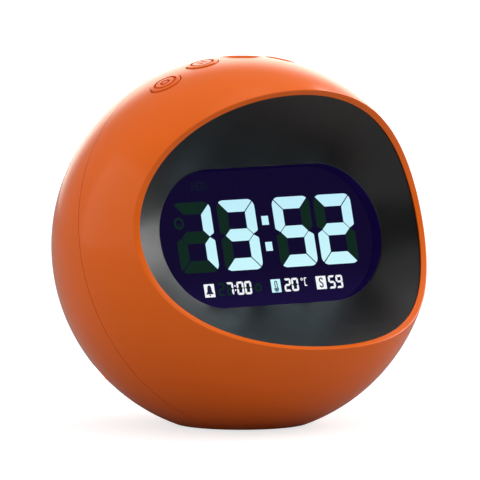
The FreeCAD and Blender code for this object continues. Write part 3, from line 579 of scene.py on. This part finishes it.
def scoop_level(case, radius, across_share):
    """How far forwards a ball of a radius meets the scoop, by direction round the face."""
    axis = case.scoop_axis
    level = axis ** 2 - case.scoop ** 2 + radius ** 2
    if across_share < 1e-9:
        return level / (2 * axis)
    inner = axis ** 2 - across_share * (level - across_share * radius ** 2)
    return (axis - math.sqrt(inner)) / across_share


def level_ring(radius, level):
    """Ring on a ball at a level along the face axis."""
    return round_ring(math.sqrt(max(radius ** 2 - level ** 2, 0.0)), level)


def ball_point(radius, level, turn):
    """Point of a ball at a level along the face axis."""
    return level_ring(radius, level)(turn)


def scoop_ring(case, radius):
    """Ring where the scoop meets a ball of a radius."""
    def ring(turn):
        share = math.cos(2 * math.pi * turn) ** 2
        return ball_point(radius, scoop_level(case, radius, share), turn)
    return ring


def ball_ring(case, radius, share, seam, inset, seam_inset=0.0):
    """Ring on a ball, a share of the way from the seam to the scoop, less an inset at each."""
    edge = scoop_ring(case, radius)
    first = math.acos(seam / radius) - seam_inset / radius
    def ring(turn):
        last = math.acos(edge(turn).z / radius) + inset / radius
        angle = first + (last - first) * share
        return ball_point(radius, radius * math.cos(angle), turn)
    return ring


def front_skin(case):
    """Rings of the front shell: outside, lip, inside and the rebate over the tongue."""
    outer = case.ball
    inner = case.ball - case.wall
    halfway = case.ball - case.wall / 2
    seam = case.seam_gap / 2 - case.seam
    shelf = REBATE - case.seam
    outside = [ball_ring(case, outer, row / OUTSIDE_ROWS, seam, case.lip_round, case.edge_round)
               for row in range(OUTSIDE_ROWS + 1)]
    inside = [ball_ring(case, inner, 1 - row / INSIDE_ROWS, shelf, case.edge_round)
              for row in range(INSIDE_ROWS + 1)]
    lip_outer = scoop_ring(case, outer - case.lip_round)
    lip_inner = scoop_ring(case, inner + case.edge_round)
    edge = level_ring(outer - case.edge_round, seam)
    rings = outside[:-1]
    rings += rounding(outside[-1], scoop_ring(case, outer), lip_outer)
    rings += between(lip_outer, lip_inner)
    rings += rounding(lip_inner, scoop_ring(case, inner), inside[0])
    rings += inside[1:-1]
    rings += [level_ring(inner, shelf), level_ring(halfway, shelf), level_ring(halfway, seam)]
    rings += rounding(edge, level_ring(outer, seam), outside[0])[:-1]
    return rings


def table_slab(case):
    """Cutter for everything below the flat of the shells."""
    deselect()
    depth = case.centre_height
    width = case.ball * 3
    bpy.ops.mesh.primitive_cube_add(size=1, location=(0, 0, case.flat - depth / 2),
                                    scale=(width, width, depth))
    cutter = named("table_cut")
    bpy.ops.object.transform_apply(location=True, rotation=True, scale=True)
    return cutter


def foot_cutter(case):
    """Cutter for the recess of the rubber foot."""
    deselect()
    room = 0.1 * MM
    deep = 0.9 * MM
    low, high = -case.ball, deep + case.flat
    bpy.ops.mesh.primitive_cylinder_add(vertices=ROUND_COLUMNS, radius=case.foot + room,
                                        depth=high - low)
    cutter = named("foot_cut")
    cutter.data.transform(Matrix.Translation((0, 0, (low + high) / 2)))
    return cutter


def on_ball(case, radius):
    """Height of the ball's skin at a distance from a button's axis."""
    return math.sqrt(case.ball ** 2 - radius ** 2)


def hole_cutter(case, radius, place):
    """Cutter for a button's hole, with a fine chamfer at the skin."""
    deep = 6 * MM
    chamfer = 0.18 * MM
    flare = 1.5 * MM
    low = case.ball - deep
    edge = on_ball(case, radius) - chamfer
    profile = [(0, low), (radius, low), (radius, edge), (radius + flare, edge + flare),
               (0, edge + flare)]
    return turned("hole_cut", profile, place)


class CLOCK_OT_front_shell(bpy.types.Operator):
    """Front shell with its scooped face, rounded lip, flat and button holes"""

    bl_idname = "clock.front_shell"
    bl_label = "Front shell"

    def execute(self, context):
        case = context.scene.clock_case
        shell = ring_skin("front_case", front_skin(case), CASE_COLUMNS, face_place(case))
        cutters = [table_slab(case), foot_cutter(case)]
        for step in BUTTONS.values():
            radius = case.button if step else case.centre_button
            cutters.append(hole_cutter(case, radius + case.button_gap, button_place(case, step)))
        carve(shell, cutters)
        tidy_mesh(shell, FINE_MERGE)
        true_normals(shell, case)
        finish(shell, "case", "soft_touch_case", ["front_shell"])
        return {"FINISHED"}


class CLOCK_OT_rear_shell(bpy.types.Operator):
    """Rear shell with its battery well, screw tubes and sound holes"""

    bl_idname = "clock.rear_shell"
    bl_label = "Rear shell"

    def execute(self, context):
        shell = dressed_copy("rear_shell", "rear_case")
        true_normals(shell, context.scene.clock_case)
        finish(shell, "case", "soft_touch_case", ["rear_shell"])
        return {"FINISHED"}


class CLOCK_OT_battery_door(bpy.types.Operator):
    """Battery door in the skin of the ball"""

    bl_idname = "clock.battery_door"
    bl_label = "Battery door"

    def execute(self, context):
        door = dressed_copy("battery_door", "door_skin")
        true_normals(door, context.scene.clock_case)
        finish(door, "battery_door", "soft_touch_case", ["battery_door"])
        return {"FINISHED"}


# ---------- buttons

# How far a small button stands above the ball.
PROUD = 0.3 * MM

# Steps down the steep-walled finger dish of the middle button, as shares of its radius.
BOWL_STEPS = (0.0, 0.03, 0.07, 0.12, 0.18, 0.26, 0.36, 0.5, 0.7, 1.0)


def button_stem(case, cap, top):
    """Half outline of a button from its stem's end to the soft edge of its cap."""
    stem = 1.6 * MM
    stem_end = 37.4 * MM
    flange = cap + 0.6 * MM
    flange_top = case.ball - case.wall - 0.7 * MM
    flange_low = flange_top - 0.8 * MM
    soft = 0.24 * MM
    edge = arc(cap - soft, top - soft, soft,
               [math.radians(90 * step / ROUND_STEPS) for step in range(ROUND_STEPS + 1)])
    return [(0, stem_end), (stem, stem_end), (stem, flange_low), (flange, flange_low),
            (flange, flange_top), (cap, flange_top)] + edge


def centre_profile(case):
    """Half outline of the middle button, with a finger dish in its top."""
    rim = 4.4 * MM
    depth = 0.95 * MM
    edge = on_ball(case, rim)
    bowl = [(rim * (1 - share), edge - depth * (1 - (1 - share) ** 5)) for share in BOWL_STEPS]
    cap = case.centre_button
    return button_stem(case, cap, on_ball(case, cap)) + bowl


def small_profile(case):
    """Half outline of a small button, with an engraved ring in its top."""
    ring = 2.6 * MM
    half = 0.32 * MM
    deep = 0.55 * MM
    floor = on_ball(case, ring) + PROUD - deep
    def crown(*radii):
        return [(radius, on_ball(case, radius) + PROUD) for radius in radii]
    top = button_stem(case, case.button, on_ball(case, case.button) + PROUD)
    top += crown(3.3 * MM, 3.1 * MM, ring + half) + [(ring + half, floor), (ring - half, floor)]
    return top + crown(ring - half, 2.1 * MM, 1.6 * MM, 1.0 * MM, 0.5 * MM, 0.0)


def mark_cutters(case, step, place):
    """Cutters for the small mark in the middle of a button."""
    low = case.ball + PROUD - 0.5 * MM
    high = case.ball + 1.0 * MM
    bar = 0.27 * MM
    reach = 1.25 * MM
    gap = 0.6 * MM
    if step == -2:
        sides = 48
        outer = circle_outline(0, 0, reach, sides)
        inner = circle_outline(0, 0, reach - 2 * bar, sides)
        ring = flat_shapes("mark_cut", [outer], low, high, place)
        core = flat_shapes("mark_core", [inner], low - MM, high + MM, place)
        return [carve(ring, [core])]
    pair = [box_outline(side * gap - bar, -reach, side * gap + bar, reach) for side in (-1, 1)]
    across = box_outline(-reach, -bar, reach, bar)
    upright = [(-y, x) for x, y in across]
    bars = {-1: pair, 1: [across], 2: [across, upright]}[step]
    return [flat_shapes("mark_cut", [outline], low, high, place) for outline in bars]


class CLOCK_OT_buttons(bpy.types.Operator):
    """Five sprung buttons, the small ones with an engraved ring and mark, the middle one dished"""

    bl_idname = "clock.buttons"
    bl_label = "Buttons"

    def execute(self, context):
        case = context.scene.clock_case
        for label, step in BUTTONS.items():
            place = button_place(case, step)
            profile = small_profile(case) if step else centre_profile(case)
            piece = turned(label + "_cap", profile, place)
            if step:
                carve(piece, mark_cutters(case, step, place))
                tidy_mesh(piece, FINE_MERGE)
            finish(piece, label, "soft_touch_button", [label])
        return {"FINISHED"}


# ---------- dish and window

# Share of a quarter of the way round that is straight.
STRAIGHT = 0.18


def outline_part(turn):
    """Side, level, straight share and round share at a share of the way round the window.

    The way starts at the middle of the top and leads round the right end first. The straight
    share is 1 where an end begins, and the round share is 1 at its tip.
    """
    quarter = turn * 4 % 4
    side = 1 if quarter < 2 else -1
    within = quarter % 2
    level = side if within < 1 else -side
    reach = min(within, 2 - within)
    if reach < STRAIGHT:
        return side, level, reach / STRAIGHT, 0.0
    return side, level, 1.0, (reach - STRAIGHT) / (1 - STRAIGHT)


def window_ring(face, grow, plane):
    """Ring round the window's outline, grown by a margin, at a plane."""
    radius = face.window_height / 2
    middle = face.window_width / 2 - radius
    grown = radius + grow
    def ring(turn):
        side, level, straight, bent = outline_part(turn)
        angle = bent * math.pi / 2
        x = straight * middle + grown * math.sin(angle)
        return Vector((side * x, level * grown * math.cos(angle), plane))
    return ring


def rim_ring(case, face, sink=0.0):
    """Ring of the dish's upper edge, where its step below the scoop meets the ball."""
    radius = face.dish
    axis = case.scoop_axis
    bore = case.scoop + face.dish_step
    widest = math.sqrt(radius ** 2 - (axis - bore) ** 2)
    middle = (face.window_width - face.window_height) / 2
    def ring(turn):
        side, level, straight, bent = outline_part(turn)
        x = straight * middle + (widest - middle) * math.sin(bent * math.pi / 2)
        out = (axis ** 2 - bore ** 2 + radius ** 2 - x ** 2) / (2 * axis)
        y = math.sqrt(max(radius ** 2 - x ** 2 - out ** 2, 0.0))
        point = Vector((side * x, level * y, out - sink))
        return point if sink == 0 else point.normalized() * radius
    return ring


class CLOCK_OT_face_dish(bpy.types.Operator):
    """Black dish that flares from the window's edge to the lip of the shell"""

    bl_idname = "clock.face_dish"
    bl_label = "Face dish"

    def execute(self, context):
        case, face = context.scene.clock_case, context.scene.clock_face
        soft = 0.35 * MM
        margin = 1.2 * MM
        flank = [0.06 + 0.9 * row / 14 for row in range(15)]
        top = face.window_plane
        low = top - face.land
        window = window_ring(face, 0.0, top)
        window_low = window_ring(face, 0.0, top - 0.2 * MM)
        under = window_ring(face, margin, top - face.dish_wall + 0.6 * MM)
        seat = window_ring(face, margin, low)
        rim = rim_ring(case, face)
        rim_outside = rim_ring(case, face, 0.15 * MM)
        rim_low = rim_ring(case, face, face.dish_wall)
        rings = [window_ring(face, 0.0, low)]
        rings += rounding(window_low, window, towards(window, rim, soft), 6)
        rings += between(window, rim, flank)
        rings += rounding(towards(rim, window, soft / 2), rim, rim_outside, 3)
        rings += [rim_low] + between(rim_low, under) + [under, seat]
        dish = ring_skin("face_dish", rings, DISH_COLUMNS, face_place(case))
        finish(dish, "case", "black_dish", ["face_bezel"])
        return {"FINISHED"}


class CLOCK_OT_lens(bpy.types.Operator):
    """Clear lens over the display and the ring round it"""

    bl_idname = "clock.lens"
    bl_label = "Lens"

    def execute(self, context):
        case, face = context.scene.clock_case, context.scene.clock_face
        top = face.window_plane - face.land
        low = top - 1.0 * MM
        inset = -0.05 * MM
        soft = 0.1 * MM
        rings = [round_ring(0.0, low), window_ring(face, inset, low),
                 window_ring(face, inset, top - soft), window_ring(face, inset - soft, top),
                 round_ring(0.0, top)]
        lens = ring_skin("clear_lens", rings, LENS_COLUMNS, face_place(case), closed=False)
        finish(lens, "case", "lens_sheet", ["display_lens"])
        # The ring round the display carries the wall's painted glow of the display's light.
        ring = dressed_copy("window_frame", "window_wall")
        finish(ring, "case", "violet_wall", ["window_frame"])
        return {"FINISHED"}


# ---------- display

# Places on the display are in millimetres from the middle of the window.

# Lit segments of each digit and letter that the display shows.
DIGITS = {
    " ": "", "0": "abcdef", "1": "bc", "2": "abdeg", "3": "abcdg", "5": "acdfg", "7": "abc",
    "9": "abcdfg", "C": "adef",
}

# Digit, left edge and resting segments.
LARGE_ROW = (("1", -24.6, "adeg"), ("3", -11.95, "ef"), ("5", 4.03, "be"), ("2", 16.15, "cf"))
SMALL_ROW = (
    (" ", -15.0, "abdeg"), ("7", -12.55, "defg"), ("0", -9.6, "g"), ("0", -7.35, "g"),
    ("2", 4.1, ""), ("0", 6.25, "g"), ("5", 17.0, ""), ("9", 19.2, ""),
)
SMALL_LOW = -13.07

SMALL_DIGIT = dict(width=1.95, height=3.15, stroke=0.5, corner=0.35, gap=0.09, tip=0.04)
CELSIUS = dict(width=0.85, height=2.0, stroke=0.26, corner=0.1, gap=0.04, tip=0.02)
NARROW_O = dict(width=1.2, height=2.1, stroke=0.24, corner=0.2, gap=0.02, tip=0.02)

# Low and high faces of the plates in front of the display glass.
LIT_LEVELS = (0.02, 0.06)
RESTING_LEVELS = (0.02, 0.05)
SIGN_LEVELS = (0.05, 0.08)

# Left, right and low edge of the boxes behind the bell, the thermometer and the seconds sign.
BOXES = ((-18.95, -16.05, -13.2), (0.32, 3.05, -13.1), (13.4, 16.3, -13.05))
BOX_HEIGHT = 3.15

# Right half of the bell, line of the seconds sign and tube of the thermometer.
BELL = [(0.0, 2.75), (0.26, 2.68), (0.48, 2.42), (0.58, 1.9), (0.64, 1.35), (0.78, 1.02),
        (1.02, 0.8), (1.06, 0.62), (0.0, 0.62)]
SECONDS = [(1.1, 1.8), (0.98, 2.13), (0.65, 2.25), (0.32, 2.13), (0.2, 1.82), (0.3, 1.47),
           (0.65, 1.2), (1.0, 0.92), (1.1, 0.55), (0.98, 0.23), (0.65, 0.11), (0.32, 0.23),
           (0.2, 0.56)]
THERMOMETER = [(-0.3, 1.22), (-0.3, 2.38), (-0.19, 2.6), (0.0, 2.68), (0.19, 2.6), (0.3, 2.38),
               (0.3, 1.2)]


def segment(letter, width, height, stroke, corner, gap, tip):
    """Outline of one segment of a digit whose lower left corner is at the origin."""
    half = height / 2
    cut = gap * 0.7
    waist = stroke * 0.46
    bevel = corner * 0.30
    if letter == "a":
        points = [(bevel + cut, height - bevel), (corner, height), (width - corner, height),
                  (width - bevel - cut, height - bevel), (width - stroke - cut, height - stroke),
                  (stroke + cut, height - stroke)]
        radii = [tip, corner * 0.5, corner * 0.5, tip, tip, tip]
    elif letter == "b":
        points = [(width - bevel, height - bevel - cut), (width, height - corner),
                  (width, half + stroke * 0.30), (width - waist, half + cut * 0.6),
                  (width - stroke, half + stroke / 2 + cut * 0.9),
                  (width - stroke, height - stroke - cut)]
        radii = [tip, corner * 0.5, tip * 2, tip, tip, tip]
    else:
        side = stroke / 2
        inner = stroke + cut * 0.6
        end = waist + cut * 0.8
        points = [(end, half), (inner, half + side), (width - inner, half + side),
                  (width - end, half), (width - inner, half - side), (inner, half - side)]
        radii = [tip] * 6
    return soften(points, radii)


def digit_outlines(text, width, height, **strokes):
    """Outlines of the named segments of one digit."""
    made = {letter: segment(letter, width, height, **strokes) for letter in "abg"}
    for letter, twin in ("da", "cb"):
        made[letter] = [(x, height - y) for x, y in reversed(made[twin])]
    for letter, twin in ("fb", "ec"):
        made[letter] = [(width - x, y) for x, y in reversed(made[twin])]
    return [made[letter] for letter in text]


def digit_row(row, low, sizes):
    """Lit and resting outlines of a row of digits."""
    lit, resting = [], []
    for text, left, off in row:
        lit += moved(digit_outlines(DIGITS[text], **sizes), left, low)
        resting += moved(digit_outlines(off, **sizes), left, low)
    return lit, resting


def bell_outline(across, low):
    """Bell without its clapper."""
    right = [(across + x, low + y) for x, y in BELL]
    left = [(across - x, low + y) for x, y in reversed(BELL[1:-1])]
    return (right + left)[::-1]


def thermometer_outlines(across, low):
    """Thermometer drawn as a line, with a dot in its bulb."""
    bulb = arc(0.0, 0.78, 0.52, [math.radians(54 - 28 * step) for step in range(11)])
    line = [(across + x, low + y) for x, y in THERMOMETER + bulb]
    return [ribbon(line, 0.25), circle_outline(across, low + 0.78, 0.31, 16)]


def weekday_outlines(across, low):
    """Weekday in three narrow letters."""
    letters = [ribbon([(0.0, 0.0), (0.0, 2.1), (0.6, 0.8), (1.2, 2.1), (1.2, 0.0)], 0.24)]
    letters += moved(digit_outlines("abcdef", **NARROW_O), 1.5, 0.0)
    letters.append(ribbon([(3.05, 0.0), (3.05, 2.1), (4.15, 0.0), (4.15, 2.1)], 0.24))
    return moved(letters, across, low)


def show(context, name, outlines, levels, material):
    """Thin plates in front of the display glass, from outlines in millimetres."""
    plane = context.scene.clock_face.glass_plane
    low, high = levels
    outlines = [[(x * MM, y * MM) for x, y in outline] for outline in outlines]
    piece = flat_shapes(name, outlines, plane + low * MM, plane + high * MM,
                        face_place(context.scene.clock_case))
    finish(piece, "case", material)


class CLOCK_OT_large_digits(bpy.types.Operator):
    """Time digits: lit segments, and the resting ones faint beside them"""

    bl_idname = "clock.large_digits"
    bl_label = "Large digits"

    def execute(self, context):
        face = context.scene.clock_face
        height = face.digit_height / MM
        sizes = dict(width=face.digit_width / MM, height=height, stroke=face.stroke / MM,
                     corner=1.5, gap=0.27, tip=0.16)
        lit, resting = digit_row(LARGE_ROW, face.digit_middle / MM - height / 2, sizes)
        lit += [box_outline(0.45, top - 2.15, 2.38, top) for top in (5.3, -0.95)]
        resting += ring_outlines(-23.3, 4.7, 1.42, 0.85)
        resting.append(ribbon(arc(-23.3, 4.7, 0.45, (3.6, 4.1, 4.7, 5.3, 5.8)), 0.22))
        show(context, "time_digits", lit, LIT_LEVELS, "lit_segment")
        show(context, "resting_segments", resting, RESTING_LEVELS, "resting_segment")
        return {"FINISHED"}


class CLOCK_OT_small_display(bpy.types.Operator):
    """Bottom row of the display: alarm time, temperature and seconds with their signs"""

    bl_idname = "clock.small_display"
    bl_label = "Small display"

    def execute(self, context):
        lit, resting = digit_row(SMALL_ROW, SMALL_LOW, SMALL_DIGIT)
        for level in (1.0, 2.0):
            lit.append(box_outline(-10.25, SMALL_LOW + level, -9.9, SMALL_LOW + level + 0.36))
        lit += ring_outlines(9.35, -10.35, 0.33, 0.16, 8)
        lit += moved(digit_outlines(DIGITS["C"], **CELSIUS), 9.98, -12.0)
        resting += ring_outlines(-3.5, -11.65, 1.05, 0.52)
        bell_box, thermometer_box, seconds_box = [
            box_outline(left, low, right, low + BOX_HEIGHT, 0.06) for left, right, low in BOXES]
        signs = [bell_outline(-17.5, -13.1), circle_outline(-17.5, -12.73, 0.22, 16)]
        signs += thermometer_outlines(1.7, -13.1)
        signs += moved([ribbon(SECONDS, 0.32)], 14.2, -12.65)
        show(context, "small_digits", lit + [bell_box, seconds_box], LIT_LEVELS, "lit_sign")
        show(context, "temperature_box", [thermometer_box], LIT_LEVELS, "lit_segment")
        show(context, "small_resting", resting, RESTING_LEVELS, "resting_segment")
        show(context, "weekday", weekday_outlines(-18.1, 12.2), RESTING_LEVELS, "faint_sign")
        show(context, "dark_signs", signs, SIGN_LEVELS, "dark_sign")
        return {"FINISHED"}


# ---------- inner pieces

INNER_FINISHES = {
    "dark_display": ("lcd_front_glass", "lcd_rear_glass"),
    "chassis_white": ("backlight_panel", "display_chassis"),
    "strip_rubber": ("contact_strips",),
    "board_green": ("main_board",),
    "black_plastic": ("main_chip", "board_parts", "temperature_sensor", "tact_switches",
                      "button_carrier", "buzzer"),
    "plated_steel": ("chassis_screws", "shell_screws"),
    "nickel": ("contact_plates", "contact_springs"),
    "cell_sleeve": ("battery_cell_1", "battery_cell_2", "battery_cell_3"),
    "foot_black": ("foot_pad",),
}


class CLOCK_OT_inner_pieces(bpy.types.Operator):
    """Finishes of the construction pieces that show as they are"""

    bl_idname = "clock.inner_pieces"
    bl_label = "Inner pieces"

    def execute(self, context):
        for material, nodes in INNER_FINISHES.items():
            for node in nodes:
                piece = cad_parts[node]
                piece.data.materials.clear()
                piece.data.materials.append(bpy.data.materials[material])
        return {"FINISHED"}


# ---------- stage

# Camera in degrees round from the front and up, and the ball's radius and middle in its picture.
CAMERA_AZIMUTH = -35.4
CAMERA_LIFT = 5.1
CAMERA_DISTANCE = 1.6
FRAME_PIXELS = 480
BALL_PIXELS = 190.0
BALL_MIDDLE = (241.2, 245.5)
SENSOR = 36.0

# Soft lights: degrees round and up, metres away, size and power.
LIGHTS = {
    "top_light": (20, 74, 1.8, (2.0, 2.0), 4),
    "right_light": (92, 22, 1.6, (1.4, 1.2), 19),
    "left_fill": (-115, 4, 1.8, (2.4, 2.4), 9),
}


def grey(level):
    """Opaque grey."""
    return level, level, level, 1.0


# Backdrop as gloss shows it, by nearness to its bright spot, and soft light by height.
GLOW_SPOT = (0.518, 0.829, 0.208)
GLOW = ((0.0, grey(0.015)), (0.4, grey(0.12)), (0.8, grey(0.15)), (0.88, grey(0.17)),
        (0.93, grey(0.47)), (0.97, (0.95, 1.0, 0.88, 1.0)))
SKY = ((0.2, grey(0.36)), (1.0, grey(0.76)))


def look(tree, kind, tint):
    """Plain shader of one colour."""
    return add(tree, kind, Color=tint).outputs[0]


def see_white(tree, shown, gloss, hidden, output):
    """One look for the camera and glass, one for gloss and one for the rest."""
    link = tree.links.new
    path = add(tree, "LightPath").outputs
    direct = add(tree, "Math")
    direct.operation = "MAXIMUM"
    link(path["Is Camera Ray"], direct.inputs[0])
    link(path["Is Transmission Ray"], direct.inputs[1])
    below = hidden
    for chosen, other in ((path["Is Glossy Ray"], gloss), (direct.outputs[0], shown)):
        mix = add(tree, "MixShader")
        link(chosen, mix.inputs["Fac"])
        link(below, mix.inputs[1])
        link(other, mix.inputs[2])
        below = mix.outputs["Shader"]
    link(below, output)


def pale_floor():
    """Floor that looks white, keeps the clock's shadow and sends back a middling light."""
    deselect()
    bpy.ops.mesh.primitive_plane_add(size=12, location=(0, 0, -0.02 * MM))
    floor = named("floor")
    material = bpy.data.materials.new("pale_floor")
    material.use_nodes = True
    tree = material.node_tree
    hidden = fill(tree.nodes["Principled BSDF"], Base_Color=grey(0.44), Roughness=0.9)
    shown = add(tree, "AddShader")
    tree.links.new(look(tree, "BsdfDiffuse", grey(0.45)), shown.inputs[0])
    tree.links.new(look(tree, "Emission", grey(0.72)), shown.inputs[1])
    see_white(tree, shown.outputs["Shader"], look(tree, "BsdfDiffuse", grey(0.24)),
              hidden.outputs["BSDF"], tree.nodes["Material Output"].inputs["Surface"])
    floor.data.materials.append(material)


def backdrop_glow(tree):
    """White backdrop as gloss shows it: bright low behind the clock, dimmer elsewhere."""
    share = add(tree, "VectorMath")
    share.operation = "DOT_PRODUCT"
    share.inputs[1].default_value = GLOW_SPOT
    tree.links.new(add(tree, "TexCoord").outputs["Generated"], share.inputs[0])
    glow = add(tree, "Background", Strength=2.0)
    tree.links.new(graded(tree, share.outputs["Value"], GLOW), glow.inputs["Color"])
    return glow.outputs["Background"]


def soft_sky(tree):
    """Plain soft light from all round, stronger overhead."""
    height = height_in(tree, add(tree, "TexCoord").outputs["Generated"])
    sky = fill(tree.nodes["Background"], Strength=1.61)
    tree.links.new(graded(tree, height, SKY), sky.inputs["Color"])
    return sky.outputs["Background"]


def studio(scene):
    """World that looks white, with a graded backdrop for gloss and soft light for the rest."""
    world = bpy.data.worlds.new("studio")
    scene.world = world
    world.use_nodes = True
    tree = world.node_tree
    see_white(tree, look(tree, "Background", grey(1.0)), backdrop_glow(tree), soft_sky(tree),
              tree.nodes["World Output"].inputs["Surface"])


def direction(azimuth, lift):
    """Way from the clock to a place, by degrees round from the front and up."""
    a, e = math.radians(azimuth), math.radians(lift)
    return Vector((math.sin(a) * math.cos(e), -math.cos(a) * math.cos(e), math.sin(e)))


def soft_box(scene, name, azimuth, lift, distance, size, power, aim):
    """Square soft light aimed at the clock."""
    back = direction(azimuth, lift)
    lamp = bpy.data.lights.new(name, "AREA")
    lamp.shape = "RECTANGLE"
    lamp.size, lamp.size_y = size
    lamp.energy = power
    holder = bpy.data.objects.new(name, lamp)
    scene.collection.objects.link(holder)
    holder.location = aim + back * distance
    holder.rotation_euler = back.to_track_quat("Z", "Y").to_euler()


def camera(scene, case, aim):
    """Camera that shows the ball at its place and size in the picture."""
    back = direction(CAMERA_AZIMUTH, CAMERA_LIFT)
    turn = math.radians(CAMERA_AZIMUTH)
    right = Vector((math.cos(turn), math.sin(turn), 0))
    up = back.cross(right)
    lens = bpy.data.cameras.new("camera")
    lens.sensor_width = SENSOR
    lens.lens = BALL_PIXELS / case.ball * CAMERA_DISTANCE * SENSOR / FRAME_PIXELS
    lens.clip_start, lens.clip_end = 0.05, 40.0
    holder = bpy.data.objects.new("camera", lens)
    scene.collection.objects.link(holder)
    pixel = case.ball / BALL_PIXELS
    middle = FRAME_PIXELS / 2
    across, below = middle - BALL_MIDDLE[0], BALL_MIDDLE[1] - middle
    holder.location = aim + right * across * pixel + up * below * pixel + back * CAMERA_DISTANCE
    holder.rotation_mode = "QUATERNION"
    holder.rotation_quaternion = (-back).to_track_quat("-Z", "Y")
    scene.camera = holder


class CLOCK_OT_stage(bpy.types.Operator):
    """Pale floor, soft studio light and the camera"""

    bl_idname = "clock.stage"
    bl_label = "Stage"

    def execute(self, context):
        scene = context.scene
        aim = Vector((0, 0, scene.clock_case.centre_height))
        pale_floor()
        studio(scene)
        for name, values in LIGHTS.items():
            soft_box(scene, name, *values, aim)
        camera(scene, scene.clock_case, aim)
        scene.view_settings.view_transform = "Standard"
        return {"FINISHED"}


# ---------- panel and start

STEPS = (
    CLOCK_OT_stage, CLOCK_OT_finishes, CLOCK_OT_front_shell, CLOCK_OT_rear_shell,
    CLOCK_OT_battery_door, CLOCK_OT_buttons, CLOCK_OT_face_dish, CLOCK_OT_lens,
    CLOCK_OT_large_digits, CLOCK_OT_small_display, CLOCK_OT_inner_pieces,
)
GROUPS = (("clock_case", CaseSizes), ("clock_face", FaceSizes), ("clock_colours", Colours))


class CLOCK_PT_panel(bpy.types.Panel):
    """Every step of dressing the clock, in order, and its sizes and colours"""

    bl_idname = "CLOCK_PT_panel"
    bl_label = "Ball Alarm Clock"
    bl_space_type = "VIEW_3D"
    bl_region_type = "UI"
    bl_category = "Clock"

    def draw(self, context):
        for step in STEPS:
            self.layout.operator(step.bl_idname)
        for name, group in GROUPS:
            box = self.layout.box()
            for key in group.__annotations__:
                box.prop(getattr(context.scene, name), key)


def register():
    """Add the classes and the scene's sizes and colours."""
    for name, group in GROUPS:
        bpy.utils.register_class(group)
        setattr(bpy.types.Scene, name, bpy.props.PointerProperty(type=group))
    for item in (*STEPS, CLOCK_PT_panel):
        bpy.utils.register_class(item)


def unregister():
    """Take them away again, last first."""
    for item in reversed((*STEPS, CLOCK_PT_panel)):
        bpy.utils.unregister_class(item)
    for name, group in reversed(GROUPS):
        delattr(bpy.types.Scene, name)
        bpy.utils.unregister_class(group)


def main():
    """Dress the clock step by step."""
    register()
    for step in STEPS:
        group, action = step.bl_idname.split(".")
        getattr(getattr(bpy.ops, group), action)()


if __name__ == "__main__":
    main()
